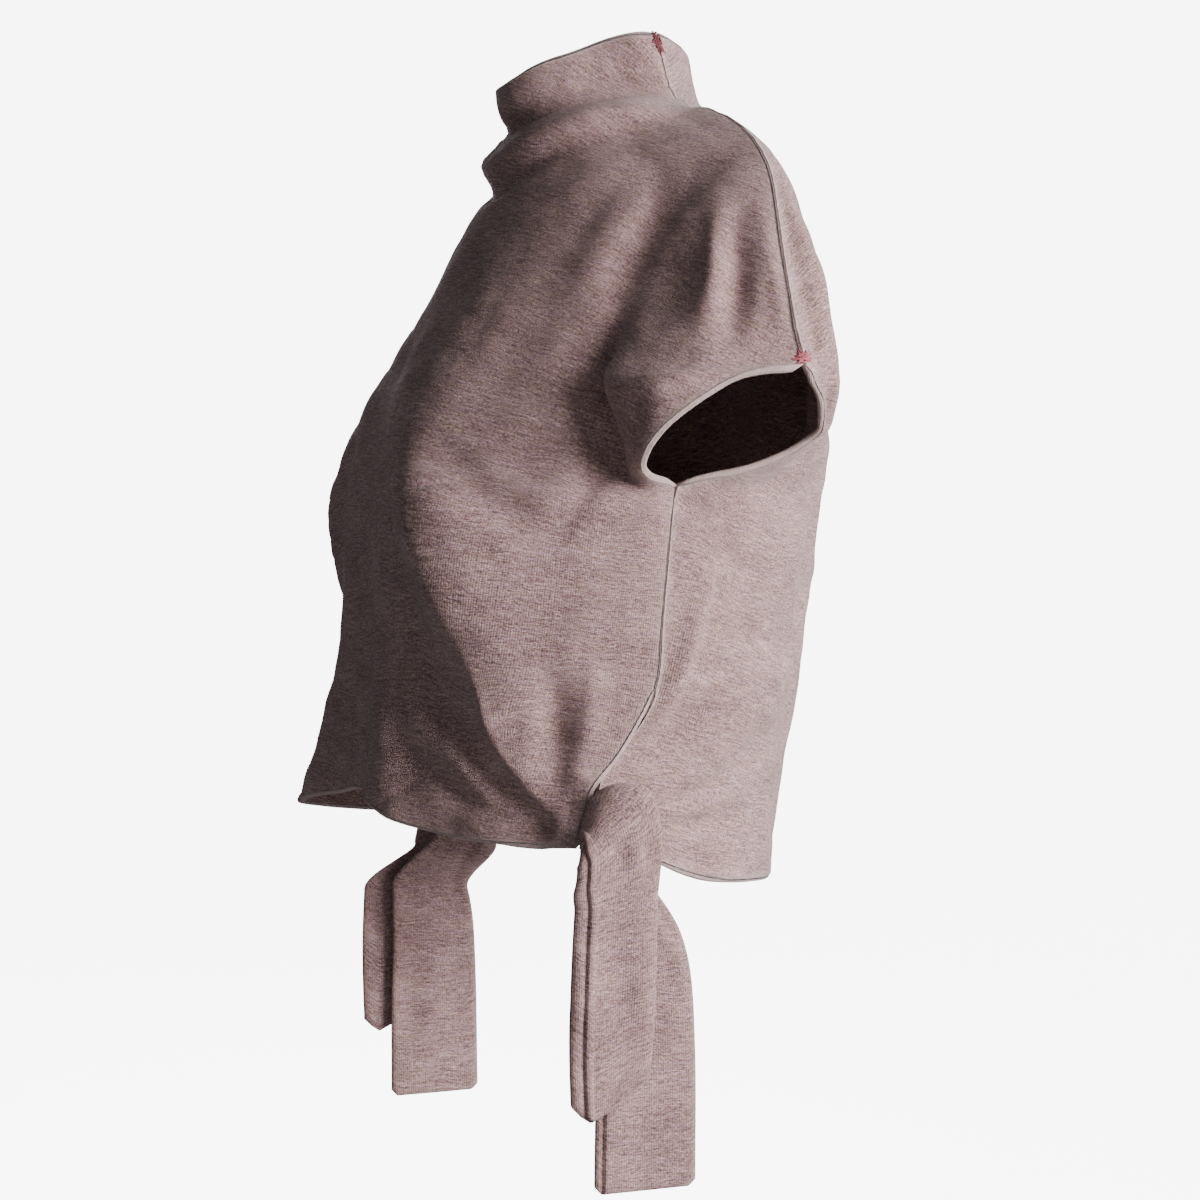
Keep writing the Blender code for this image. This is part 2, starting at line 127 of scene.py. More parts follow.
# Front rows below the neck. From the centre front a row is a quarter of a superellipse, depth deep at
# the centre, to the trough between body and sleeve, and goes on by the sleeve's lobe and outer side
# to its edge: the shoulder seam, then the sleeve hem. Below the sleeve it runs straight to the edge:
# the side seam, then the open slit. z_mid is the height at the trough, body the trough's place
# along a row that has none.
FrontRow = namedtuple("FrontRow", "name z_front z_mid z_edge depth power body trough lobe outer edge")
FRONT = [
    FrontRow("roll_foot", -63, -34, -14, 77, 1.9, None, (84, -14), (91, 3), (94, 22), (95, 42)),
    FrontRow("shoulder_1", -79, -50, -28, 87, 1.8, None, (104, -8), (115, 12), (122, 31), (125, 50)),
    FrontRow("shoulder_2", -94, -68, -45, 95, 1.8, None, (118, 0), (132, 18), (144, 36), (150, 53)),
    FrontRow("shoulder_3", -108, -86, -63, 102, 1.8, None, (125, -7), (145, 9), (161, 30), (168, 54)),
    FrontRow("cap_1", -124, -108, -88, 109, 1.9, None, (130, -16), (154, 2), (175, 24), (184, 52)),
    FrontRow("cap_2", -140, -130, -114, 117, 2.0, None, (135, -25), (158, -9), (186, 15), (198, 50)),
    FrontRow("cap_3", -160, -153, -144, 127, 2.1, None, (140, -33), (160, -24), (196, 5), (213, 49)),
    FrontRow("cap_4", -177, -174, -168, 135, 2.2, None, (144, -37), (163, -39), (204, -6), (223, 49)),
    FrontRow("sleeve_tip", -193, -191, -188, 143, 2.3, None, (147, -38), (167, -53), (209, -18), (232, 52)),
    FrontRow("hem_top", -206, -201, -188, 148, 2.35, None, (149, -38), (170, -54), (211, -32), (229, 24)),
    FrontRow("hem_front", -219, -215, -206, 152, 2.4, None, (151, -36), (172, -47), (203, -38), (222, -8)),
    FrontRow("hem_low", -232, -230, -225, 155, 2.4, None, (154, -34), (172, -41), (195, -41), (209, -30)),
    FrontRow("hem_corner", -244, -246, -244, 157, 2.4, None, (159, -33), (173, -39), (186, -40), (194, -37)),
    FrontRow("hem_under", -255, -256, -252, 158, 2.5, None, (164, -30), (171, -31), (176, -30), (180, -26)),
    FrontRow("underarm", -266, -264, -256, 159, 2.5, 0.91, None, None, None, (170, -7)),
    FrontRow("ribs", -300, -299, -295, 159, 2.5, 0.84, None, None, None, (168, -11)),
    FrontRow("waist", -342, -341, -338, 158, 2.2, 0.76, None, None, None, (169, -15.5)),
    FrontRow("slit_top", -379, -380, -379, 160, 2.0, 0.70, None, None, None, (172, -21)),
    FrontRow("slit_mid", -398, -402, -401, 162, 1.95, 0.67, None, None, None, (175.5, -34)),
    FrontRow("slit_low", -416, -423, -420, 164, 1.9, 0.65, None, None, None, (177, -47)),
    FrontRow("tie_top", -430, -444, -437, 166, 1.85, 0.63, None, None, None, (177.5, -62)),
    FrontRow("hem", -446, -470, -472, 168, 1.8, 0.62, None, None, None, (177, -71)),
]

# Back rows on the same levels. A row whose edge is None shares the front's edge.
BackRow = namedtuple("BackRow", "name z_back z_mid z_edge depth power body trough lobe edge")
BACK = [
    BackRow("roll_foot", -27, -20, None, 80, 2.0, None, (86, 58), (93, 50), None),
    BackRow("shoulder_1", -42, -35, None, 86, 2.2, None, (109, 68), (121, 60), None),
    BackRow("shoulder_2", -58, -53, None, 92, 2.3, None, (128, 73), (144, 66), None),
    BackRow("shoulder_3", -75, -71, None, 98, 2.4, None, (140, 78), (161, 69), None),
    BackRow("cap_1", -97, -94, None, 104, 2.4, None, (150, 83), (177, 72), None),
    BackRow("cap_2", -120, -119, None, 109, 2.4, None, (158, 86), (190, 75), None),
    BackRow("cap_3", -147, -147, None, 113, 2.4, None, (165, 86), (204, 77), None),
    BackRow("cap_4", -170, -171, None, 116, 2.4, None, (169, 85), (211, 79), None),
    BackRow("sleeve_tip", -189, -191, None, 118, 2.4, None, (171, 84), (216, 80), None),
    BackRow("hem_top", -200, -202, -200, 119, 2.4, None, (171, 83), (213, 81), (226, 60)),
    BackRow("hem_back", -212, -214, -212, 120, 2.4, None, (171, 81), (206, 80), (217, 70)),
    BackRow("hem_low", -224, -226, -223, 124, 2.4, None, (170, 80), (195, 80), (205, 74)),
    BackRow("hem_corner", -237, -238, -235, 125, 2.4, None, (169, 70), (183, 68), (192, 62)),
    BackRow("hem_under", -250, -250, -248, 126, 2.4, None, (167, 54), (174, 46), (181, 32)),
    BackRow("underarm", -264, -263, None, 126, 2.4, 0.88, None, None, None),
    BackRow("ribs", -300, -300, None, 125, 2.4, 0.80, None, None, None),
    BackRow("waist", -345, -344, None, 120, 2.4, 0.74, None, None, None),
    BackRow("slit_top", -390, -386, None, 114, 2.4, 0.70, None, None, None),
    BackRow("slit_mid", -416, -410, -402, 110, 2.4, 0.69, None, None, (169, -33)),
    BackRow("slit_low", -442, -433, -424, 107, 2.4, 0.68, None, None, (169.5, -52)),
    BackRow("tie_top", -467, -457, -440, 104, 2.4, 0.68, None, None, (170, -58)),
    BackRow("hem", -502, -498, -474, 100, 2.4, 0.68, None, None, (168, -44)),
]
SLEEVE_TIP_ROW = "sleeve_tip"
UNDERARM_ROW = "underarm"
SLIT_TOP_ROW = "slit_top"

# The largest folds, each by the line of its crest on the left half: rise is its height off the cloth
# at start, middle and end, below zero for a valley. width is from the crest to where it has died away.
Fold = namedtuple("Fold", "name width rise start middle end")
FRONT_FOLDS = [
    Fold("bust", 75, (0, 8, 0), (62, -118, -125), (75, -142, -212), (80, -158, -300)),
    Fold("flare", 55, (0, 14, 41), (38, -160, -262), (70, -158, -360), (92, -146, -480)),
    Fold("centre_valley", 42, (0, -5, -6), (0, -150, -250), (0, -158, -350), (0, -164, -480)),
    Fold("knot_pull", 30, (0, -5, -8), (110, -125, -330), (132, -112, -400), (160, -90, -455)),
]
# The left half's flare lies flatter, as the ties draw it in.
FLARE = "flare"
LEFT_FLARE = Fold(FLARE, 50, (0, 8, 14), (38, -160, -262), (54, -160, -360), (70, -158, -480))
FLARE_SPLIT = 40.0
BACK_FOLDS = [
    Fold("spine", 55, (0, -5, -3), (0, 95, -90), (0, 118, -210), (0, 110, -400)),
    Fold("back_pull", 30, (0, -5, -8), (105, 118, -350), (135, 85, -415), (160, 10, -475)),
    Fold("blade", 60, (0, 8, 0), (80, 100, -110), (92, 105, -220), (95, 110, -340)),
]

# A tie, from its root on the panel's corner to its end: centre, the way across it, its width.
TieRow = namedtuple("TieRow", "name centre across width")
TIE_FRONT = [
    TieRow("root", (177.5, -66.5, -456.0), (0.00, 0.27, 0.96), 33),
    TieRow("rise", (187.8, -62.0, -453.8), (0.03, 0.50, 0.87), 48),
    TieRow("over_knot", (193.5, -54.8, -459.0), (0.05, 0.69, 0.73), 63),
    TieRow("turn", (193.0, -51.2, -478.0), (0.03, 0.85, 0.52), 62),
    TieRow("fall", (190.0, -51.5, -506.5), (0.00, 0.99, 0.13), 52),
    TieRow("middle", (188, -53, -565), (0, 1.0, 0.0), 53),
    TieRow("end", (187, -55, -629), (0, 1.0, 0.3), 48),
]
TIE_BACK = [
    TieRow("root", (170, -53.0, -457), (0, 0.4, -1.0), 30),
    TieRow("turn", (172, -47, -478), (0, 1.0, -0.6), 38),
    TieRow("fall", (177, -34, -520), (0, 1.0, -0.1), 54),
    TieRow("middle", (178, -29, -590), (0, 1.0, 0.0), 62),
    TieRow("end", (176, -29, -676), (0, 1.0, 0.05), 64),
]

# A tie's section once round: share of the half width, millimetres further aside, and out of the face.
# One edge is the fold. Beside the other the seam lies in a groove in the face.
FRONT_TIE_SECTION = [
    (1.0, 0.0, 0.0), (1.0, -0.7, 1.5), (1.0, -2.6, 2.5), (1.0, -7.0, 2.9), (0.4, 0.0, 2.6), (0.0, 0.0, 2.5),
    (-0.4, 0.0, 2.7), (-1.0, 13.0, 3.3), (-1.0, 9.8, 3.5), (-1.0, 8.2, 0.6), (-1.0, 6.6, 1.6),
    (-1.0, 4.0, 1.3), (-1.0, 1.4, -0.2), (-1.0, 0.2, -1.9), (-1.0, 1.2, -3.2), (-1.0, 4.5, -3.4),
    (-0.5, 0.0, -2.6), (0.0, 0.0, -2.4), (0.5, 0.0, -2.6), (1.0, -5.0, -2.8), (1.0, -2.0, -2.3),
    (1.0, -0.5, -1.3),
]
BACK_TIE_SECTION = [
    (1.0, 0.0, 0.0), (1.0, -0.6, 1.4), (1.0, -2.2, 2.3), (1.0, -6.0, 2.8), (0.4, 0.0, 2.5), (0.0, 0.0, 2.4),
    (-0.4, 0.0, 2.6), (-1.0, 9.0, 2.9), (-1.0, 6.2, 3.0), (-1.0, 5.0, 0.6), (-1.0, 3.6, 1.5),
    (-1.0, 1.6, 0.9), (-1.0, 0.1, -0.4), (-1.0, 1.0, -2.0), (-1.0, 4.0, -2.7), (-0.5, 0.0, -2.5),
    (0.0, 0.0, -2.4), (0.5, 0.0, -2.5), (1.0, -5.0, -2.6), (1.0, -2.0, -2.1), (1.0, -0.5, -1.2),
]

# Bends of a tie by points along it from its root and across it, and its slanted end: how much longer
# than its centre line it is, or shorter below zero, at each share of its half width. The section is
# drawn at TIE_HALF_WIDTH. Both ends close over TIE_CLOSE, at places TIE_EASE from them, and the space
# between the two layers is TIE_SPACE of the outer depth.
TIE_HALF_WIDTH = 26.0
TIE_CLOSE = 2.7
TIE_EASE = (0.0, 0.25, 0.8, 1.6, TIE_CLOSE)
TIE_BODY_START = 4.5
TIE_SPACE = 0.12
TieBend = namedtuple("TieBend", "name width rise points")
TieShape = namedtuple("TieShape", "section bends end")
FRONT_TIE = TieShape(
    FRONT_TIE_SECTION,
    [
        TieBend("knot_dent", 10, (0, -1.0, -0.6), [(14, -16), (34, -4), (52, 6)]),
        TieBend("knot_swell", 12, (0, 2.6, 0), [(26, 14), (44, 12), (66, 8)]),
        TieBend("long_hollow", 15, (0, -1.8, -1.2, 0), [(60, 4), (100, -2), (140, 4), (176, 2)]),
        TieBend("fold_side", 12, (0, 1.8, 0), [(84, 20), (116, 17), (152, 22)]),
        TieBend("seam_side", 11, (0, 1.6, -1.2, 0), [(90, -18), (124, -20), (160, -17), (190, -18)]),
    ],
    [(-1.0, -12.0), (-0.8, -6.0), (-0.5, 0.0), (-0.1, -2.0), (1.0, -15.0)],
)
BACK_TIE = TieShape(
    BACK_TIE_SECTION,
    [
        TieBend("knot_fold", 10, (-1.0, -3.0, 0), [(6, 2), (34, 8), (62, 20)]),
        TieBend("seam_turn", 8, (0, 2.2, 1.6, 0), [(20, -6), (48, 6), (78, 18), (104, 26)]),
        TieBend("long_hollow", 18, (0, -2.2, -1.4, 0), [(74, -8), (120, 2), (164, -4), (206, 0)]),
        TieBend("low_swell", 16, (0, 2.0, 0), [(120, -20), (160, -16), (198, -20)]),
    ],
    [(-1.0, -5.0), (-0.85, 0.0), (0.0, 0.6), (0.85, 1.0), (1.0, -3.0)],
)

# Creases and soft ridges finer than the solids' folds. rise is the height off the cloth at each point,
# below zero for a trough, width how far it reaches to each side. lean draws the steep side to the
# line's left, from -1 to 1, and peak goes from a soft wave, 0, to a pinched crease, 1.
Crease = namedtuple("Crease", "name width lean peak rise points")
FRONT_CREASES = [
    Crease("neck_base", 9, 0, 0.6, (0, -2.6, -3.6, -3.8, -3.8, -2.8, 0),
        [(-63, 18, -2), (-58, -24, -4), (-38, -52, -12), (0, -63, -20), (38, -52, -12), (58, -24, -4),
         (63, 18, -2)]),
    Crease("neck_roll", 14, 0, 0, (0, 2.6, 4.4, 4.8, 4.8, 3.4, 0),
        [(-82, -2, -15), (-62, -48, -28), (-31, -67, -37), (0, -73, -41), (31, -67, -36), (66, -44, -26),
         (83, 6, -14)]),
    Crease("under_roll", 15, -0.3, 0.5, (0, -3.5, -6, -6.5, -6.5, -5.5, -4, -2, 0),
        [(-88, -8, -26), (-62, -50, -43), (-34, -68, -55), (0, -76, -63), (36, -68, -55), (60, -51, -42),
         (75, -33, -34), (84, -12, -27), (92, 12, -22)]),
    Crease("collar_dent", 12, 0, 0, (0, -1.6, 0), [(20, -64, 0), (38, -56, 2), (52, -38, 10)]),
    Crease("collar_dent_right", 14, 0, 0, (0, -1.8, 0), [(-8, -68, -2), (-30, -60, 0), (-50, -36, 12)]),
    # Left shoulder and sleeve.
    Crease("arm_ridge", 22, 0.2, 0, (0, 2, 4.2, 4.8, 3.2, 0),
        [(131, 22, -54), (123, 9, -61), (120, -10, -78), (122, -27, -98), (126, -41, -119),
         (140, -50, -165)]),
    Crease("arm_trough", 15, 0, 0.1, (0, -1.4, -2, -1.5, 0, 0, 0),
        [(146, 27, -62), (145, 13, -75), (140, 0, -90), (136, -19, -117), (138, -32, -143),
         (147, -40, -175), (156, -38, -205)]),
    Crease("sleeve_light", 14, 0, 0, (0, 3, 4, 0),
        [(156, 24, -74), (173, 18, -101), (190, 8, -136), (203, -6, -172)]),
    Crease("sleeve_dark", 15, 0, 0.1, (0, -4, -6.4, -5, 0),
        [(172, 30, -84), (184, 25, -106), (197, 22, -129), (210, 15, -154), (220, 6, -180)]),
    Crease("sleeve_patch", 20, 0, 0, (0, -2.6, 0), [(166, 4, -112), (176, -16, -140), (188, -34, -172)]),
    Crease("sleeve_edge_light", 9, 0, 0, (0, 1.6, 1.8, 0),
        [(176, 45, -80), (199, 42, -120), (212, 42, -146), (222, 38, -172)]),
    Crease("sleeve_low", 14, 0, 0, (0, -2, 0), [(200, -50, -198), (200, -42, -218), (194, -40, -234)]),
    Crease("pit_fold", 14, 0.3, 0.3, (0, -3, -3, 0),
        [(160, -34, -236), (154, -50, -252), (156, -66, -272), (150, -84, -300)]),
    # Left half of the body.
    Crease("drape", 56, -0.3, 0.3, (0, 2, 8, 17, 22, 22, 20, 13, 6, 0),
        [(70, -139, -186), (75, -143, -210), (83, -144, -235), (95, -142, -264), (104, -136, -294),
         (111, -128, -325), (117, -121, -349), (122, -114, -367), (127, -109, -389), (132, -104, -410)]),
    Crease("drape_low", 34, -0.2, 0.3, (0, 6, 13, 17, 16, 12, 6, 0),
        [(116, -122, -349), (121, -115, -367), (126, -109, -389), (132, -104, -410), (139, -97, -423),
         (150, -89, -438), (160, -81, -452), (170, -77, -462)]),
    Crease("bust_dip", 20, 0, 0, (0, -4, -5, -3, 0),
        [(89, -142, -221), (112, -129, -245), (135, -114, -266), (147, -98, -278), (157, -76, -289)]),
    Crease("chest_dip", 26, 0, 0, (0, -2.2, -2, 0),
        [(104, -58, -112), (112, -82, -155), (116, -108, -205), (106, -136, -238)]),
    Crease("chest_swell", 24, 0, 0, (0, 2, 0), [(52, -92, -92), (70, -112, -140), (66, -140, -190)]),
    Crease("side_swell", 20, 0, 0, (0, 1.8, 2, 0),
        [(160, -58, -300), (158, -62, -335), (150, -76, -370), (146, -88, -400)]),
    Crease("main_fold", 13, 0, 0.3, (0, -3, -5, -5, -3),
        [(105, -136, -380), (116, -124, -407), (130, -110, -430), (144, -97, -447), (159, -84, -458)]),
    Crease("second_ridge", 16, 0, 0.1, (0, 2.5, 4, 4, 2, 0),
        [(70, -160, -374), (91, -158, -393), (108, -144, -411), (121, -125, -428), (136, -107, -442),
         (151, -90, -454)]),
    Crease("low_fold", 13, 0, 0.2, (0, -2, -3.5, -4, -2),
        [(86, -166, -411), (111, -150, -429), (125, -129, -445), (139, -108, -456), (156, -88, -463)]),
    Crease("upright_fold", 15, 0, 0.1, (0, -3, -4.5, -5, -4),
        [(150, -82, -350), (152, -78, -385), (155, -79, -406), (159, -79, -426), (171, -74, -446)]),
    Crease("far_ridge", 14, 0, 0.1, (0, 2, 3, 1),
        [(160, -58, -350), (163, -58, -379), (166, -61, -402), (168, -67, -425)]),
    Crease("flare_dip", 24, 0, 0, (0, -3, -3.5, -2),
        [(44, -160, -300), (58, -160, -360), (84, -158, -412), (104, -156, -462)]),
    # Right half of the body, which the photograph doesn't show.
    Crease("arm_ridge_right", 20, -0.2, 0, (0, 2, 3.4, 2.8, 0),
        [(-128, 18, -54), (-122, -4, -72), (-121, -24, -94), (-124, -42, -122), (-136, -50, -158)]),
    Crease("arm_trough_right", 17, 0, 0.2, (0, -3.4, -4.8, -4.4, -2.4, 0),
        [(-146, 24, -64), (-143, 4, -84), (-137, -16, -112), (-138, -33, -146), (-148, -40, -178),
         (-158, -38, -210)]),
    Crease("sleeve_light_right", 14, 0, 0, (0, 2.6, 2, 0),
        [(-160, 22, -80), (-180, 12, -114), (-196, 2, -146), (-208, -12, -184)]),
    Crease("sleeve_dark_right", 13, 0, 0, (0, -3, -2.6, 0),
        [(-176, 34, -88), (-196, 26, -124), (-210, 20, -150), (-222, 10, -184)]),
    Crease("pit_fold_right", 15, -0.3, 0.3, (0, -3.4, -2.4, 0),
        [(-162, -32, -240), (-152, -54, -258), (-150, -74, -286), (-140, -98, -312)]),
    Crease("drape_right", 50, 0.3, 0.3, (0, 9, 16, 18, 17, 12, 5, 0),
        [(-70, -146, -206), (-84, -148, -240), (-99, -144, -278), (-108, -134, -316), (-114, -124, -350),
         (-121, -116, -378), (-128, -108, -404), (-134, -101, -420)]),
    Crease("drape_low_right", 32, 0.2, 0.3, (0, 6, 12, 14, 10, 0),
        [(-112, -126, -340), (-119, -118, -372), (-127, -109, -402), (-139, -98, -428), (-152, -88, -446),
         (-168, -78, -460)]),
    Crease("chest_dip_right", 24, 0, 0, (0, -2.4, -1.6, 0),
        [(-100, -60, -108), (-110, -86, -160), (-112, -112, -212), (-98, -140, -250)]),
    Crease("main_fold_right", 14, 0, 0.3, (0, -3, -5, -4.5, -2.5),
        [(-100, -138, -372), (-112, -126, -402), (-128, -111, -428), (-145, -96, -448),
         (-161, -83, -460)]),
    Crease("second_ridge_right", 17, 0, 0.1, (0, 2.5, 4.2, 3, 0),
        [(-76, -159, -382), (-96, -154, -402), (-114, -138, -422), (-132, -112, -440), (-152, -89, -456)]),
    Crease("low_fold_right", 14, 0, 0.2, (0, -2.4, -4, -2.4),
        [(-90, -165, -416), (-116, -146, -436), (-134, -116, -452), (-156, -87, -465)]),
    Crease("upright_fold_right", 14, 0, 0.2, (0, -3, -4.6, -4),
        [(-154, -76, -356), (-152, -79, -396), (-158, -79, -430), (-170, -75, -452)]),
]
BACK_CREASES = [
    Crease("nape_dent", 16, 0, 0, (0, -2, -1.6, 0),
        [(-46, 58, 8), (-14, 70, 2), (20, 69, -2), (48, 60, 6)]),
    Crease("nape_roll", 16, 0, 0, (0, 2.4, 2.8, 2.4, 0),
        [(-84, 50, -16), (-44, 76, -18), (2, 80, -20), (42, 77, -17), (84, 50, -15)]),
    Crease("sleeve_back_ridge", 10, 0.1, 0.2, (0, 2.4, 3, 3, 1.6, 0),
        [(158, 62, -58), (180, 62, -88), (191, 68, -110), (200, 74, -132), (211, 75, -160),
         (215, 78, -188)]),
    Crease("sleeve_back_valley", 9, 0, 0.2, (0, -2, -2.6, -3, -2),
        [(176, 55, -80), (190, 56, -104), (204, 58, -130), (219, 61, -165), (225, 62, -196)]),
    Crease("sleeve_hem_pleat", 8, 0, 0.4, (0, -3, -4, -2),
        [(218, 68, -178), (219, 70, -196), (214, 73, -210), (208, 76, -220)]),
    Crease("sleeve_hem_lobe", 12, 0, 0, (0, 2.4, 2),
        [(202, 82, -180), (200, 83, -204), (196, 81, -222)]),
    Crease("yoke_drag", 22, 0, 0, (0, -2.6, -3, 0),
        [(70, 76, -54), (96, 90, -92), (118, 98, -136), (128, 98, -176)]),
    Crease("blade_light", 26, 0, 0, (0, 2.4, 2.6, 0),
        [(48, 90, -78), (66, 104, -124), (78, 110, -180), (80, 112, -240)]),
    Crease("arm_fold", 18, 0, 0.2, (0, -3.4, -4, -2.4, 0),
        [(150, 80, -112), (160, 84, -150), (164, 82, -190), (160, 72, -226), (150, 72, -262)]),
    Crease("long_fold", 26, 0.2, 0, (0, -3.4, -4.6, -3.6, -1.5),
        [(104, 106, -216), (112, 102, -290), (106, 96, -362), (96, 92, -430), (88, 90, -486)]),
    Crease("long_ridge", 24, 0, 0, (0, 3, 3.4, 1.5),
        [(66, 112, -248), (68, 108, -330), (60, 102, -412), (54, 98, -480)]),
    Crease("side_ridge", 11, 0.3, 0.2, (0, 3.4, 4.6, 4, 1),
        [(168, 20, -300), (169, 7, -341), (171, -2, -365), (171, -12, -387), (169, -26, -404)]),
    Crease("side_shade", 11, 0, 0.3, (0, -3.6, -4.6, -3, 0),
        [(166, 26, -372), (168, 12, -388), (168, -2, -398), (168, -16, -405), (169, -32, -412)]),
    Crease("pull_upper", 12, 0, 0.3, (0, -3.6, -5.2, -4.6, 0),
        [(122, 78, -392), (146, 46, -424), (160, 14, -442), (167, -14, -449), (169, -36, -452)]),
    Crease("pull_lower", 13, 0, 0.3, (0, -3, -5, -4.2, 0),
        [(104, 88, -430), (136, 62, -456), (156, 26, -464), (166, -8, -462), (169, -36, -458)]),
    Crease("pull_ridge", 10, 0, 0.2, (0, 3, 3.4, 0),
        [(120, 80, -416), (146, 48, -444), (161, 12, -455), (168, -22, -456)]),
    # Right half of the back.
    Crease("sleeve_back_ridge_right", 12, 0, 0.2, (0, 2.6, 3.2, 2, 0),
        [(-156, 62, -58), (-184, 64, -96), (-200, 72, -130), (-214, 76, -176), (-214, 78, -196)]),
    Crease("sleeve_back_valley_right", 10, 0, 0.2, (0, -2.4, -3, -1.6),
        [(-172, 58, -76), (-196, 58, -118), (-214, 62, -158), (-224, 62, -194)]),
    Crease("yoke_drag_right", 24, 0, 0, (0, -3, -2.4, 0),
        [(-62, 78, -50), (-92, 92, -88), (-116, 98, -128), (-134, 96, -166)]),
    Crease("blade_light_right", 28, 0, 0, (0, 2.6, 2.2, 0),
        [(-52, 92, -84), (-72, 106, -134), (-84, 110, -196), (-78, 112, -262)]),
    Crease("arm_fold_right", 19, 0, 0.2, (0, -3, -4.2, -2.6, 0),
        [(-148, 82, -108), (-161, 84, -146), (-165, 82, -184), (-158, 74, -232), (-146, 76, -272)]),
    Crease("long_fold_right", 28, -0.2, 0, (0, -3.8, -4.4, -3, -1.5),
        [(-98, 108, -232), (-114, 102, -306), (-116, 94, -376), (-102, 92, -438), (-96, 88, -488)]),
    Crease("long_ridge_right", 22, 0, 0, (0, 2.4, 3.4, 1.5),
        [(-50, 114, -262), (-60, 110, -346), (-70, 102, -420), (-66, 97, -482)]),
    Crease("middle_fold", 24, 0, 0, (0, -2.6, -3.4, -2),
        [(-6, 116, -286), (-16, 110, -360), (-26, 104, -430), (-30, 101, -492)]),
    Crease("side_ridge_right", 12, -0.3, 0.2, (0, 3, 4.4, 3.4, 1),
        [(-168, 16, -310), (-170, 4, -348), (-171, -6, -374), (-169, -24, -402)]),
    Crease("side_shade_right", 12, 0, 0.3, (0, -3.2, -4.4, 0),
        [(-166, 30, -366), (-168, 10, -390), (-168, -8, -402), (-169, -30, -411)]),
    Crease("pull_upper_right", 12, 0, 0.3, (0, -4, -5, -4, 0),
        [(-116, 82, -398), (-142, 52, -428), (-158, 18, -444), (-167, -14, -450), (-169, -36, -452)]),
    Crease("pull_lower_right", 14, 0, 0.3, (0, -3.4, -4.6, -4, 0),
        [(-108, 86, -440), (-138, 60, -460), (-157, 24, -467), (-166, -8, -463), (-169, -36, -458)]),
    Crease("pull_ridge_right", 10, 0, 0.2, (0, 2.6, 3.4, 0),
        [(-124, 76, -420), (-148, 46, -447), (-161, 12, -456), (-168, -22, -456)]),
]

# The knit's own unevenness: slow waves in the flat pattern, each with its length, height and
# direction. Its crests wander by WAVE_WANDER radians over WAVE_RUN of its length.
WAVE_WANDER = 1.7
WAVE_RUN = 0.41
Wave = namedtuple("Wave", "length height angle phase")
WAVES = [
    Wave(96, 0.24, 0.4, 0.3), Wave(74, 0.20, 1.9, 2.1), Wave(61, 0.18, 2.7, 4.0), Wave(52, 0.16, 1.2, 1.1),
    Wave(43, 0.14, 0.1, 5.2), Wave(37, 0.12, 2.2, 0.7), Wave(29, 0.10, 1.6, 3.3), Wave(23, 0.08, 0.8, 2.6),
    Wave(17, 0.06, 2.9, 1.7), Wave(13, 0.05, 0.5, 4.4),
]

# The small puckers along sewn seams: their height, length and reach, how they wander and lean away
# from the seam, and how many times higher they are on the neck.
PUCKER = 0.30
PUCKER_LENGTH = 8.5
PUCKER_REACH = 8.0
PUCKER_WANDER = 1.3
PUCKER_RUN = 1.7
PUCKER_LEAN = 0.25
NECK_PUCKER = 2.4

# How much of the knit's colour a pale colour hides along the edges, and how far it reaches in. It is partly
# pale nap on worn or folded edges and partly painted light, which stands in for the light on the edges' tops.
PALE_NAP_AND_LIGHT = (0.66, 0.53, 0.51)
EDGE_NAP_AND_LIGHT = 0.45
EDGE_NAP_AND_LIGHT_REACH = 1.8

# Names of the flat pattern as a UV map and of the pale nap and painted light along the edges.
PATTERN_MAP = "pattern"
EDGE_NAP_AND_LIGHT_MAP = "edge_nap_and_light"

# The knit in metres: a wale's width, a loop's height, how far courses drift, and features to the metre
# across and along the courses. Slubs, fine slubs, grain and clouds add up to the tone by their shares.
WALE = 0.00140
LOOP = 0.00105
COURSE_DRIFT = 0.006
DRIFT = (34.0, 34.0)
SLUB = (64.0, 720.0)
FINE_SLUB = (230.0, 1350.0)
GRAIN = (640.0, 1000.0)
FLECK = (150.0, 1300.0)
CLOUD = (16.0, 50.0)
TINT = (52.0, 330.0)
NAP = (900.0, 900.0)
SLUB_SHARE, FINE_SHARE, GRAIN_SHARE, CLOUD_SHARE = 0.30, 0.28, 0.30, 0.12
FLECK_SHARE = 0.38
LOOP_LEAN = 0.55

# How far the gaps between wales and the nap shade the colour, and how rough the cloth is.
GAP_SHADE = 0.16
NAP_SHADE = 0.36
BRIGHTEN = 0.03
ROUGH = 0.84
ROUGH_VARIES = 0.12

# Heights in the bump: knit and nap, on the face and on the reverse, and grain on both. A bump has its
# strength, and its depth in metres.
FACE_RELIEF = (0.6, 1.1)
REVERSE_RELIEF = (0.25, 1.6)
GRAIN_RELIEF = 0.9
LOOP_RELIEF = 0.22
WALE_RELIEF = 0.8
KNIT_BUMP = (0.55, 0.0007)
THREAD_BUMP = (0.5, 0.0002)
THREAD_TWIST = 900.0
THREAD_SHADE = 0.55

# Light that the knit returns, by its tone.
HEATHER = [
    (0.33, (0.106, 0.064, 0.065)), (0.42, (0.203, 0.128, 0.128)), (0.50, (0.340, 0.221, 0.219)),
    (0.58, (0.482, 0.335, 0.328)), (0.67, (0.650, 0.487, 0.474)),
]
DARK_FIBRE = (0.080, 0.050, 0.054)
TINT_STOPS = [(0.36, (1.02, 0.96, 1.02)), (0.64, (1.02, 1.00, 0.93))]
FLECK_STOPS = [(0.62, (0.0, 0.0, 0.0)), (0.74, (1.0, 1.0, 1.0))]

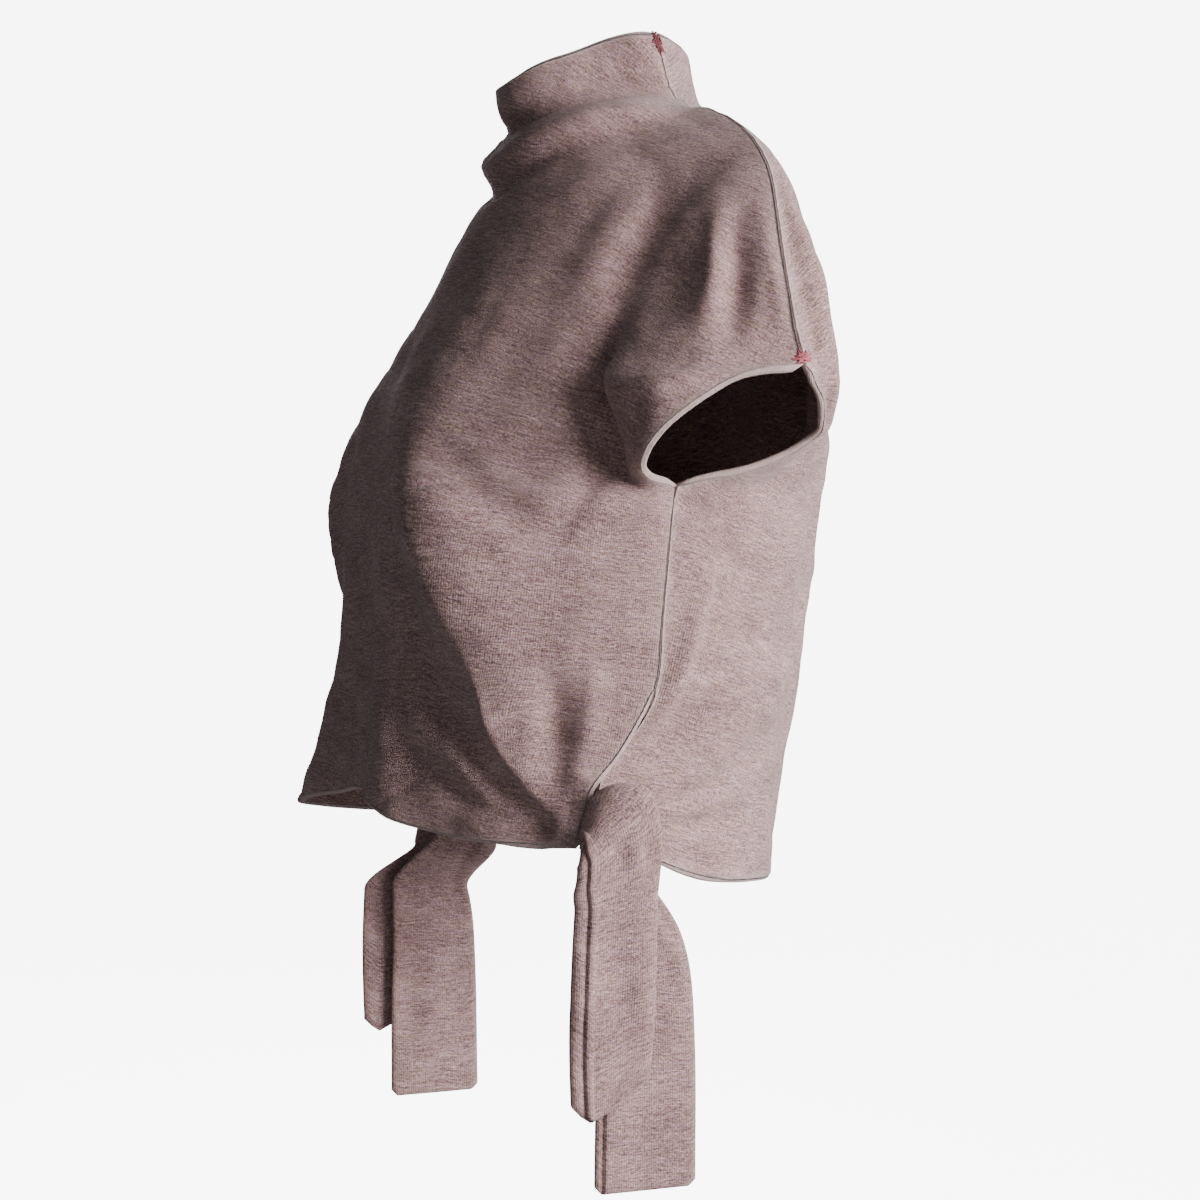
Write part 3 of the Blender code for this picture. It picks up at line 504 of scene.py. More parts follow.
# Hand-sewn tacks over the ends of the seams: how many stitches, centre is its middle down from the
# seam's end, length and width how far it runs down and across the seam, and thread its radius. Each
# stitch turns on from the last by STITCH_TURN radians, arches over the cloth by STITCH_ARCH or a few
# times that, and its ends sink in by STITCH_SINK. Half of it is STITCH_HALF of the tack's size, give
# or take STITCH_VARIES, and its middle wanders by STITCH_WANDER of it.
RED = (0.23, 0.030, 0.045)
PINK = (0.60, 0.130, 0.170)
Tack = namedtuple("Tack", "name side colour count centre length width thread phase")
TACKS = [
    Tack("neck_tack_left", 1, RED, 26, 6.5, 13.0, 8.0, 0.28, 0.0),
    Tack("neck_tack_right", -1, RED, 20, 5.5, 11.0, 7.0, 0.28, 1.3),
    Tack("sleeve_tack_left", 1, PINK, 36, -4.6, 8.5, 10.5, 0.34, 0.6),
    Tack("sleeve_tack_right", -1, PINK, 28, -4.2, 7.5, 9.0, 0.34, 2.1),
]
STITCH_TURN = 2.4
STITCH_ARCH = 0.3
STITCH_SINK = 0.15
STITCH_HALF = 0.30
STITCH_VARIES = 0.20
STITCH_WANDER = 0.2
STITCH_POINTS = 9

# The studio, in metres: a floor that bends up into a wall all round, and a camera and lights that aim
# at the garment's middle. Azimuth 0 is in front of it and 90 on its left. Power is in watts.
FLOOR = -1.05
FLOOR_RADIUS = 2.2
BEND_RADIUS = 1.2
WALL_TOP = 5.0
STAGE_STEPS = 96
STAGE_GLOW = 7.0
AIM_HEIGHT = -0.325
CAMERA_AZIMUTH = 72.0
CAMERA_DISTANCE = 1.8
VIEW_WIDTH = 0.792
SENSOR_MM = 36.0
WORLD_LIGHT = 0.15
Light = namedtuple("Light", "name azimuth elevation distance size power colour")
LIGHTS = [
    Light("key", 128, 9, 2.4, 1.5, 146.0, (1.0, 0.98, 0.96)),
    Light("window", 190, 28, 2.4, 0.9, 34.0, (0.74, 0.85, 1.0)),
    Light("bounce", 88, -34, 2.4, 1.4, 6.0, (1.0, 0.96, 0.95)),
    Light("far_fill", 262, 14, 2.6, 0.9, 50.0, (0.97, 0.98, 1.0)),
]


def superellipse_arc(reach, depth, power):
    """Quarter of a superellipse about the origin from (0, depth) to the point reach, as an array."""
    reach_x, reach_y = reach
    share = min(abs(reach_y) / depth, 1.0)
    half_width = reach_x / (1.0 - share ** power) ** (1.0 / power)
    last = math.acos(share ** (power / 2.0))
    angle = np.linspace(0.0, last, CURVE_POINTS)
    x = half_width * np.sin(angle) ** (2.0 / power)
    y = depth * np.cos(angle) ** (2.0 / power)
    return np.column_stack((x, y))


def path_length(points):
    """Length along a path of points from its start to each point."""
    steps = np.linalg.norm(np.diff(points, axis=0), axis=1)
    return np.concatenate(([0.0], np.cumsum(steps)))


def spline(knots, values, places):
    """Smooth curve through values at knots, read at places. It never swings past its values."""
    knots = np.asarray(knots, dtype=float)
    values = np.asarray(values, dtype=float)
    spans = np.diff(knots)
    shape = (-1,) + (1,) * (values.ndim - 1)
    rates = np.diff(values, axis=0) / spans.reshape(shape)
    before = spans[:-1].reshape(shape)
    after = spans[1:].reshape(shape)
    inner = (rates[:-1] * after + rates[1:] * before) / (before + after)
    limit = STEEPEST * np.minimum(np.abs(rates[:-1]), np.abs(rates[1:]))
    inner = np.where(rates[:-1] * rates[1:] > 0.0, np.clip(inner, -limit, limit), 0.0)
    slopes = np.concatenate((rates[:1], inner, rates[-1:]))
    index = np.clip(np.searchsorted(knots, places, side="right") - 1, 0, len(spans) - 1)
    span = spans[index].reshape(shape)
    t = ((places - knots[index]) / spans[index]).reshape(shape)
    return (values[index] * (1 + 2 * t) * (1 - t) ** 2 + slopes[index] * span * t * (1 - t) ** 2
            + values[index + 1] * t * t * (3 - 2 * t) + slopes[index + 1] * span * t * t * (t - 1))


def soften(points, softness):
    """Rounds a path's corners over a length of softness and keeps its two ends."""
    length = path_length(points)
    even = np.linspace(0.0, length[-1], SOFTENED_POINTS)
    path = np.column_stack([np.interp(even, length, points[:, k]) for k in range(2)])
    reach = max(1, int(3 * softness / even[1]))
    ahead = 2 * path[-1] - path[-2:-2 - reach:-1]
    behind = 2 * path[0] - path[reach:0:-1]
    behind[:, 1] = path[reach:0:-1, 1]
    padded = np.concatenate((behind, path, ahead))
    offsets = np.arange(-reach, reach + 1) * even[1]
    weights = np.exp(-0.5 * (offsets / softness) ** 2)
    weights /= weights.sum()
    smooth = [np.convolve(padded[:, k], weights, mode="valid") for k in range(2)]
    return np.column_stack(smooth)


def row_points(path, heights, split, columns):
    """Points along one row: path in x and y, heights at its start, split and end."""
    length = path_length(path)
    total = length[-1]
    body, sleeve = columns
    places = np.concatenate((np.linspace(0.0, split, body + 1), np.linspace(split, 1.0, sleeve + 1)[1:]))
    x = np.interp(places * total, length, path[:, 0])
    y = np.interp(places * total, length, path[:, 1])
    start, middle, end = heights
    z = spline([-split, 0.0, split, 1.0], [middle, start, middle, end], places)
    return np.column_stack((x, y, z))


def neck_row(ring, side, columns):
    """One ring of the neck from its centre front or back to its side seam."""
    middle = 0.5 * (ring.front + ring.back)
    radius = 0.5 * (ring.back - ring.front)
    seam_angle = math.acos((middle - ring.seam_y) / radius)
    start, stop = (0.0, seam_angle) if side == "front" else (math.pi, seam_angle)
    angle = np.linspace(start, stop, sum(columns) + 1)
    share = np.clip(angle / seam_angle, 0.0, 1.0) ** NECK_FLAT_PLACE
    flat = NECK_FLAT * np.sin(math.pi * share) ** 2
    corner = NECK_CORNER * np.exp(-((angle - seam_angle) / NECK_CORNER_WIDTH) ** 2)
    reach = 1.0 + ring.flat * (corner - flat)
    x = ring.half_width * np.sin(angle) * reach
    y = middle - radius * np.cos(angle) * reach
    cheek = CHEEK_PLACE * seam_angle
    knots = [-cheek, 0.0, cheek, seam_angle, math.pi, 2.0 * math.pi - seam_angle]
    heights = [ring.z_cheek, ring.z_front, ring.z_cheek, ring.z_seam, ring.z_back, ring.z_seam]
    z = spline(knots, heights, angle)
    return np.column_stack((x, y, z))


def front_row(row, columns):
    """One front row below the neck, from the centre front to its edge."""
    body = superellipse_arc(row.trough or row.edge, row.depth, row.power)
    body[:, 1] *= -1.0
    if not row.trough:
        return row_points(soften(body, CORNER_SOFTNESS), (row.z_front, row.z_mid, row.z_edge),
                          row.body, columns)
    return sleeved_row(body, (row.trough, row.lobe, row.outer, row.edge),
                       (row.z_front, row.z_mid, row.z_edge), columns)


def back_row(row, front, columns):
    """One back row below the neck, from the centre back to its edge."""
    edge = row.edge or front.edge
    z_edge = front.z_edge if row.z_edge is None else row.z_edge
    heights = (row.z_back, row.z_mid, z_edge)
    reach = row.trough or edge
    middle = min(0.0, reach[1])
    body = superellipse_arc((reach[0], reach[1] - middle), row.depth - middle, row.power)
    body[:, 1] += middle
    if not row.trough:
        return row_points(soften(body, CORNER_SOFTNESS), heights, row.body, columns)
    return sleeved_row(body, (row.trough, row.lobe, edge), heights, columns)


def sleeved_row(body, sleeve_points, heights, columns):
    """A row whose body curve goes on round the sleeve by sleeve_points."""
    knots = np.arange(len(sleeve_points))
    sleeve = spline(knots, sleeve_points, np.linspace(0.0, knots[-1], SLEEVE_POINTS))
    path = np.concatenate((body, sleeve[1:]))
    length = path_length(path)
    split = length[len(body) - 1] / length[-1]
    return row_points(soften(path, CORNER_SOFTNESS), heights, split, columns)


def section_grids(columns):
    """Front and back points at every named row: arrays of rows, columns and x, y, z."""
    front = [neck_row(ring, "front", columns) for ring in NECK]
    back = [neck_row(ring, "back", columns) for ring in NECK]
    for front_line, back_line in zip(FRONT, BACK):
        front.append(front_row(front_line, columns))
        back.append(back_row(back_line, front_line, columns))
    return np.array(front), np.array(back)


def refine_rows(front, back, row_step):
    """Adds rows between the named ones about row_step apart, the same for both pieces."""
    both = np.concatenate((front, back), axis=1)
    steps = np.linalg.norm(np.diff(both, axis=0), axis=2).mean(axis=1)
    knots = np.concatenate(([0.0], np.cumsum(steps)))
    places = [0.0]
    for start, step in zip(knots[:-1], steps):
        count = max(1, round(step / row_step))
        places.extend(start + step * (k + 1) / count for k in range(count))
    places = np.array(places)
    return spline(knots, front, places), spline(knots, back, places), knots, places


def surface_normals(grid, facing):
    """Outward normals of a grid whose rows end on the left. facing is -1 for the front and 1 for the back."""
    down = np.gradient(grid, axis=0)
    across = np.gradient(grid, axis=1)
    normals = np.cross(across, down) * facing
    return normals / np.maximum(np.linalg.norm(normals, axis=2, keepdims=True), 1e-9)


def fold_line(fold):
    """Points along a fold's crest: a smooth curve by its start, middle and end."""
    places = np.linspace(0.0, 2.0, FOLD_POINTS)
    return spline([0.0, 1.0, 2.0], [fold.start, fold.middle, fold.end], places)


def distance_to_line(points, line):
    """Distance from each point to a line of points, and how far along the line it is, 0 to 1."""
    starts = line[:-1]
    spans = line[1:] - starts
    offset = points[..., None, :] - starts
    share = np.clip((offset * spans).sum(-1) / np.maximum((spans * spans).sum(-1), 1e-6), 0.0, 1.0)
    gap = np.linalg.norm(offset - share[..., None] * spans, axis=-1)
    nearest = gap.argmin(axis=-1)
    along = (nearest + np.take_along_axis(share, nearest[..., None], -1)[..., 0]) / len(spans)
    return gap.min(axis=-1), along


def snapped(line, grid):
    """The line's points moved onto the nearest points of a grid."""
    flat = grid.reshape(-1, 3)
    return np.array([flat[np.linalg.norm(flat - point, axis=1).argmin()] for point in line])


def smooth_step(value):
    """0 below 0, 1 above 1, and a soft rise between."""
    value = np.clip(value, 0.0, 1.0)
    return value * value * (3.0 - 2.0 * value)


def folded(grid, folds, facing):
    """The grid with its folds raised along its normals. They die away at ends and seams."""
    normals = surface_normals(grid, facing)
    from_edge = np.linalg.norm(grid - grid[:, -1:, :], axis=2)
    rise = np.zeros(grid.shape[:2])
    for fold in folds:
        line = snapped(fold_line(fold), grid)
        gap, along = distance_to_line(grid, line)
        bell = np.cos(0.5 * math.pi * np.clip(gap / fold.width, 0.0, 1.0)) ** 2
        rise += bell * spline([0.0, 0.5, 1.0], fold.rise, along.ravel()).reshape(along.shape)
    rise *= smooth_step(from_edge / SEAM_CALM)
    raised = grid + normals * rise[..., None]
    raised[:, 0, 0] = 0.0
    return raised


def drawn_in(grid, amounts):
    """The grid with the end of each row drawn back along it, and the last points of the row with it."""
    made = grid.copy()
    for row, amount in zip(made, amounts):
        length = path_length(row[:, :3])
        share = np.clip(1.0 - (length[-1] - length) / EDGE_REACH, 0.0, 1.0)
        places = length - amount * share
        row[:] = np.column_stack([np.interp(places, length, row[:, k]) for k in range(row.shape[1])])
    return made


def inward(row):
    """The way in from the end of a row."""
    length = path_length(row[:, :3])
    step = row[np.searchsorted(length, length[-1] - EDGE_STEP) - 1, :3] - row[-1, :3]
    return step / np.linalg.norm(step)


def trim_seam(front, back, joined):
    """Cuts both pieces back from their shared seam, more where it turns, so that they stay apart."""
    front, back = front.copy(), back.copy()
    cuts = np.zeros(len(joined))
    for row in np.flatnonzero(joined):
        front[row, -1, :3] = back[row, -1, :3] = 0.5 * (front[row, -1, :3] + back[row, -1, :3])
        turn = math.pi - math.acos(np.clip(inward(front[row]) @ inward(back[row]), -1.0, 1.0))
        cuts[row] = 0.5 * SEAM_GAP + 0.5 * CLOTH * math.tan(0.5 * min(turn, MAX_SEAM_TURN))
    return drawn_in(front, cuts), drawn_in(back, cuts)


def row_place(name, knots):
    """Place down the garment of the row below the neck that has this name."""
    index = [row.name for row in FRONT].index(name)
    return knots[len(NECK) + index]


def joined_rows(knots, places):
    """Which rows have a shared seam: neck, shoulder and overarm, and the side down to the slit."""
    open_sleeve = ((places > row_place(SLEEVE_TIP_ROW, knots) + 1e-6)
                   & (places < row_place(UNDERARM_ROW, knots) - 1e-6))
    open_slit = places > row_place(SLIT_TOP_ROW, knots) + 1e-6
    return ~(open_sleeve | open_slit)


def full_width(grid, right):
    """Both halves of a panel, from its right edge to its left one. right is the right half, mirrored."""
    share = smooth_step(grid[..., :1] / FLARE_SPLIT)
    other = right[:, :0:-1] * (-1.0, 1.0, 1.0)
    return np.concatenate((other, right + (grid - right) * share), axis=1)


def evened(grid, passes):
    """The grid with its last hard bends from row to row taken out."""
    for _ in range(passes):
        inner = 0.25 * grid[:-2] + 0.5 * grid[1:-1] + 0.25 * grid[2:]
        grid = np.concatenate((grid[:1], inner, grid[-1:]))
    return grid


def crease_line(crease, grid, normals):
    """Points along a crease, laid onto the grid, and the grid's normals there."""
    points = np.array(crease.points, dtype=float)
    knots = path_length(points)
    count = max(4, int(knots[-1] / CREASE_STEP))
    line = spline(knots, points, np.linspace(0.0, knots[-1], count))
    flat, flat_normals = grid.reshape(-1, 3), normals.reshape(-1, 3)
    nearest = np.array([np.linalg.norm(flat - point, axis=1).argmin() for point in line])
    off = ((line - flat[nearest]) * flat_normals[nearest]).sum(axis=1, keepdims=True)
    return line - off * flat_normals[nearest], flat_normals[nearest]


def crease_rise(crease, grid, normals):
    """How far a crease lifts each point of the grid."""
    line, line_normals = crease_line(crease, grid, normals)
    rise = np.zeros(grid.shape[:2])
    low, high = line.min(axis=0), line.max(axis=0)
    reach = 1.6 * crease.width
    near = ((grid > low - reach) & (grid < high + reach)).all(axis=2)
    points = grid[near]
    gap, along = distance_to_line(points, line)
    index = np.clip((along * (len(line) - 1)).astype(int), 0, len(line) - 2)
    left = np.cross(line_normals[index], line[index + 1] - line[index])
    side = np.sign(((points - line[index]) * left).sum(axis=1))
    share = np.clip(gap / (crease.width * (1.0 - crease.lean * side)), 0.0, 1.0)
    bell = (1.0 - crease.peak) * np.cos(0.5 * math.pi * share) ** 2 + crease.peak * (1.0 - share) ** 2
    rise[near] = bell * spline(np.linspace(0.0, 1.0, len(crease.rise)), crease.rise, along)
    return rise


def creased(grid, creases, facing, pinned):
    """The grid with its creases. They die away towards the edge points that are pinned."""
    normals = surface_normals(grid, facing)
    rise = sum(crease_rise(crease, grid, normals) for crease in creases)
    gap, _ = distance_to_line(grid, pinned[0])
    for line in pinned[1:]:
        gap = np.minimum(gap, distance_to_line(grid, line)[0])
    rise *= smooth_step(gap / CREASE_CALM)
    return grid + normals * rise[..., None], gap


def waved(grid, facing, pattern, gap):
    """The grid with the knit's slow unevenness, still along its seams."""
    rise = np.zeros(grid.shape[:2])
    for wave in WAVES:
        across = math.cos(wave.angle) * pattern[..., 0] + math.sin(wave.angle) * pattern[..., 1]
        along = math.cos(wave.angle) * pattern[..., 1] - math.sin(wave.angle) * pattern[..., 0]
        wander = WAVE_WANDER * np.sin(along / (WAVE_RUN * wave.length) + wave.phase)
        turn = 2.0 * math.pi * across / wave.length + wander
        rise += wave.height * np.sin(turn + wave.phase)
    rise *= smooth_step(gap / (2.0 * CREASE_CALM))
    height = grid[..., 2]
    wander = PUCKER_WANDER * np.sin(height / (PUCKER_RUN * PUCKER_LENGTH))
    turn = 2.0 * math.pi * height / PUCKER_LENGTH + wander
    on_neck = smooth_step((height + 2.0 * PUCKER_LENGTH) / PUCKER_LENGTH)
    pucker = PUCKER * (1.0 + (NECK_PUCKER - 1.0) * on_neck) * np.sin(turn + PUCKER_LEAN * gap)
    rise += pucker * np.exp(-(gap / PUCKER_REACH) ** 2)
    return grid + surface_normals(grid, facing) * rise[..., None]


def unwrapped(grid):
    """The grid's points laid flat by their angles, in no unit yet."""
    mesh = grid_mesh("pattern", grid)
    piece = bpy.data.objects.new("pattern", mesh)
    bpy.context.scene.collection.objects.link(piece)
    bpy.context.view_layer.objects.active = piece
    piece.select_set(True)
    bpy.ops.object.mode_set(mode="EDIT")
    bpy.ops.mesh.select_all(action="SELECT")
    bpy.ops.uv.unwrap(method="ANGLE_BASED", margin=0.0)
    bpy.ops.uv.minimize_stretch(iterations=STRETCH_PASSES)
    bpy.ops.object.mode_set(mode="OBJECT")
    corners = np.zeros(2 * len(mesh.loops))
    mesh.uv_layers.active.data.foreach_get("uv", corners)
    vertex = np.zeros(len(mesh.loops), dtype=int)
    mesh.loops.foreach_get("vertex_index", vertex)
    flat = np.zeros((len(mesh.vertices), 2))
    flat[vertex] = corners.reshape(-1, 2)
    bpy.data.objects.remove(piece)
    bpy.data.meshes.remove(mesh)
    return flat.reshape(grid.shape[:2] + (2,))


def upright(flat):
    """The flat half turned so that its centre line below the neck runs straight down at x = 0."""
    down = flat[-1, 0] - flat[UPRIGHT_FROM, 0]
    down /= np.linalg.norm(down)
    left = np.array((-down[1], down[0]))
    if ((flat[UPRIGHT_FROM:, -1] - flat[UPRIGHT_FROM:, 0]) @ left).mean() < 0.0:
        left = -left
    middle = flat[UPRIGHT_FROM:, 0].mean(axis=0)
    flat = np.stack(((flat - middle) @ left, -(flat - flat[-1, 0]) @ down), axis=-1)
    flat[:, 0, 0] = 0.0
    return flat


def spread(values, knots, count, axis):
    """Values at every whole place below count along an axis, from those at knots."""
    return np.apply_along_axis(lambda line: np.interp(np.arange(count), knots, line), axis, values)


def flat_pattern(half):
    """The half panel laid flat, in millimetres: x from the centre line out, y up along it."""
    rows = np.unique(np.append(np.arange(0, len(half), PATTERN_STEP), len(half) - 1))
    columns = np.unique(np.append(np.arange(0, half.shape[1], PATTERN_STEP), half.shape[1] - 1))
    coarse = half[np.ix_(rows, columns)]
    flat = unwrapped(coarse)
    real = np.linalg.norm(np.diff(coarse, axis=1), axis=2)
    drawn = np.linalg.norm(np.diff(flat, axis=1), axis=2)
    flat = upright(flat * np.median(real / np.maximum(drawn, 1e-9)))
    return spread(spread(flat, columns, half.shape[1], 1), rows, len(half), 0)


def hem_band(grid, edges, depth):
    """1 within depth of the edges, falling softly to 0, and the distance itself."""
    gap = np.min([distance_to_line(grid, edge)[0] for edge in edges], axis=0)
    return smooth_step((depth - gap) / HEM_FADE + 0.5), gap


def boundary(rows, columns):
    """Row and column of each point round a grid, once round."""
    top = [(0, c) for c in range(columns)]
    right = [(r, columns - 1) for r in range(1, rows)]
    bottom = [(rows - 1, c) for c in range(columns - 2, -1, -1)]
    left = [(r, 0) for r in range(rows - 2, 0, -1)]
    return np.array(top + right + bottom + left)


# A closed skin: points, quads, the flat pattern's place and the share of pale nap and painted edge light at
# each point,
# # and which quads are on its inside.
Skin = namedtuple("Skin", "points quads flat inside nap")


def grid_quads(rows, columns):
    """Quads over a grid of points, as an array of four corners each."""
    a = (np.arange(rows - 1)[:, None] * columns + np.arange(columns - 1)).reshape(-1)
    return np.stack((a, a + columns, a + columns + 1, a + 1), axis=1)


def grid_mesh(name, grid):
    """A mesh of quads over a grid of points in millimetres."""
    mesh = bpy.data.meshes.new(name)
    quads = grid_quads(*grid.shape[:2])
    mesh.from_pydata((grid.reshape(-1, 3) * MM).tolist(), [], quads.tolist())
    return mesh


def rim_quads(chain, facing):
    """Quads between the rings of points that run round a wall's edge, from its face to its inside."""
    rim = []
    for first, second in zip(chain[:-1], chain[1:]):
        quads = np.stack((first, np.roll(first, -1), np.roll(second, -1), second), axis=1)
        rim.append(quads if facing > 0 else quads[:, ::-1])
    return np.concatenate(rim)


def walled(grid, pattern, thickness, facing, joined):
    """A closed wall with its face on the grid and round edges, as a Skin."""
    rows, columns = grid.shape[:2]
    both = np.concatenate((grid, pattern), axis=2)
    round_off = np.where(joined, SEAM_ROUND, 0.5 * thickness[:, -1])
    for _ in range(2):
        both = drawn_in(both, round_off)[:, ::-1]
    grid, pattern = both[..., :3], both[..., 3:]
    normals = surface_normals(grid, facing)
    loop = boundary(rows, columns)
    at = (loop[:, 0], loop[:, 1])
    inner_at = (np.clip(loop[:, 0], 1, rows - 2), np.clip(loop[:, 1], 1, columns - 2))
    edge, way_in = grid[at], grid[inner_at] - grid[at]
    tangent = np.roll(edge, -1, axis=0) - np.roll(edge, 1, axis=0)
    out = np.cross(tangent, normals[at])
    out *= np.sign((out * way_in).sum(axis=1, keepdims=True)) * -1.0
    out /= np.maximum(np.linalg.norm(out, axis=1, keepdims=True), 1e-9)
    half = 0.5 * thickness[at][:, None]
    ends = ((loop[:, 0] == 0) | (loop[:, 0] == rows - 1))[:, None]
    reach = np.where(ends, half, round_off[loop[:, 0]][:, None])
    outer = grid.copy()
    outer[at] = edge - out * half * ends
    inner = outer - normals * thickness[..., None]
    centre = outer[at] - normals[at] * half
    flat_out = pattern[at] - pattern[inner_at]
    flat_out /= np.maximum(np.linalg.norm(flat_out, axis=1, keepdims=True), 1e-9)
    rings, ring_patterns = [], []
    for step in range(1, ROUND_STEPS):
        angle = math.pi * step / ROUND_STEPS
        rings.append(centre + half * normals[at] * math.cos(angle) + reach * out * math.sin(angle))
        ring_patterns.append(pattern[at] + flat_out * half * angle)
    points = np.concatenate([outer.reshape(-1, 3), inner.reshape(-1, 3)] + rings)
    # Pale nap with painted light, which stands in for light on the edges' tops: full on the round edges,
    # fading in from them over the face.
    from_edge = distance_to_line(grid, grid[at][::2])[0].reshape(-1)
    nap = np.concatenate([np.exp(-from_edge / EDGE_NAP_AND_LIGHT_REACH)] * 2 + [np.ones(len(loop))] * len(rings))
    flat = np.concatenate([pattern.reshape(-1, 2)] * 2 + ring_patterns)
    count = rows * columns
    face = grid_quads(rows, columns)
    if facing > 0:
        face = face[:, ::-1]
    on_outer = loop[:, 0] * columns + loop[:, 1]
    chain = [on_outer]
    chain += [2 * count + k * len(loop) + np.arange(len(loop)) for k in range(ROUND_STEPS - 1)]
    chain.append(on_outer + count)
    quads = np.concatenate((face, face[:, ::-1] + count, rim_quads(chain, facing)))
    inside = np.zeros(len(quads), dtype=int)
    inside[len(face):2 * len(face)] = 1
    return Skin(points, quads, flat, inside, nap)


def cloth_piece(node, skin, materials):
    """A soft piece that stands for one of the model's nodes."""
    name = f"{node}_cloth"
    mesh = bpy.data.meshes.new(name)
    mesh.from_pydata((skin.points * MM).tolist(), [], skin.quads.tolist())
    for material in materials:
        mesh.materials.append(material)
    mesh.polygons.foreach_set("material_index", skin.inside.astype(np.int32))
    layer = mesh.uv_layers.new(name=PATTERN_MAP)
    layer.data.foreach_set("uv", (skin.flat[skin.quads.reshape(-1)] * MM).astype(np.float32).reshape(-1))
    # The share of pale nap and painted edge light at each point.
    edge = mesh.attributes.new(EDGE_NAP_AND_LIGHT_MAP, "FLOAT", "POINT")
    edge.data.foreach_set("value", skin.nap.astype(np.float32))
    mesh.shade_smooth()
    piece = bpy.data.objects.new(name, mesh)
    bpy.context.scene.collection.objects.link(piece)
    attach(piece, "root")
    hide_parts(node)
    return piece


def pinned_edges(edge, joined):
    """The stretches of a half's edge that are sewn, and the same on the other half."""
    stretches = np.split(np.arange(len(edge)), np.flatnonzero(np.diff(joined.astype(int))) + 1)
    pinned = [edge[rows] for rows in stretches if joined[rows[0]]]
    return pinned + [line * (-1.0, 1.0, 1.0) for line in pinned]


def panel_grids():
    """Front and back at full width as points and flat pattern in one grid, and how their rows lie."""
    front, back = section_grids((BODY_COLUMNS, SLEEVE_COLUMNS))
    front, back, knots, places = refine_rows(front, back, ROW_STEP)
    joined = joined_rows(knots, places)
    front, back = evened(front, EVENING_PASSES), evened(back, EVENING_PASSES)
    left_folds = [LEFT_FLARE if fold.name == FLARE else fold for fold in FRONT_FOLDS]
    front_left = folded(front, left_folds, -1.0)
    front = folded(front, FRONT_FOLDS, -1.0)
    back = folded(back, BACK_FOLDS, 1.0)
    made = []
    for half, right, creases, facing in (
        (front_left, front, FRONT_CREASES, -1.0),
        (back, back, BACK_CREASES, 1.0),
    ):
        pattern = flat_pattern(right)
        flat = np.concatenate((pattern[:, :0:-1] * (-1.0, 1.0), pattern), axis=1)
        pinned = pinned_edges(half[:, -1], joined)
        grid, gap = creased(full_width(half, right), creases, facing, pinned)
        made.append(np.concatenate((waved(grid, facing, flat, gap), flat), axis=2))
    front, back = trim_both(*made, joined)
    return front, back, joined, knots, places


def trim_both(front, back, joined):
    """Both panels cut back from their shared seams on both sides."""
    for _ in range(2):
        front, back = trim_seam(front, back, joined)
        front, back = front[:, ::-1], back[:, ::-1]
    return front, back


def tie_frame(rows, side, at):
    """Centre, way across, outward normal and width of a tie at lengths along it."""
    centres = np.array([row.centre for row in rows], dtype=float)
    across = np.array([row.across for row in rows], dtype=float)
    across /= np.linalg.norm(across, axis=1, keepdims=True)
    knots = path_length(centres)
    flat = np.clip(at, 0.0, knots[-1])
    last = (centres[-1] - centres[-2]) / (knots[-1] - knots[-2])
    centre = spline(knots, centres, flat) + (at - flat)[:, None] * last
    ahead = spline(knots, centres, np.clip(flat + 1.0, 0.0, knots[-1]))
    behind = spline(knots, centres, np.clip(flat - 1.0, 0.0, knots[-1]))
    width = spline(knots, np.array([row.width for row in rows], dtype=float), flat)
    way = spline(knots, across, flat)
    way /= np.linalg.norm(way, axis=1, keepdims=True)
    out = np.cross(ahead - behind, way)
    out /= np.linalg.norm(out, axis=1, keepdims=True)
    if side < 0:
        centre[:, 1] += RIGHT_TAIL_SWING * smooth_step((SWING_TOP - centre[:, 2]) / SWING_DEPTH)
    return centre, way, out, width


def tie_bend(bends, along, across):
    """How far a tie's own bends push it out at points along and across it."""
    points = np.stack((along, across), axis=-1)
    rise = np.zeros(along.shape)
    for bend in bends:
        line = np.array(bend.points, dtype=float)
        gap, share = distance_to_line(points, line)
        bell = np.cos(0.5 * math.pi * np.clip(gap / bend.width, 0.0, 1.0)) ** 2
        rise += bell * np.interp(share, np.linspace(0.0, 1.0, len(bend.rise)), bend.rise)
    return rise


def tie_section(table):
    """Points round a tie's section as columns share, aside and out, evenly close."""
    points = np.array(table + table[:1], dtype=float)
    drawn = np.column_stack((points[:, 0] * TIE_HALF_WIDTH + points[:, 1], points[:, 2]))
    knots = path_length(drawn)
    return spline(knots, points, np.linspace(0.0, knots[-1], TIE_POINTS + 1)[:-1])


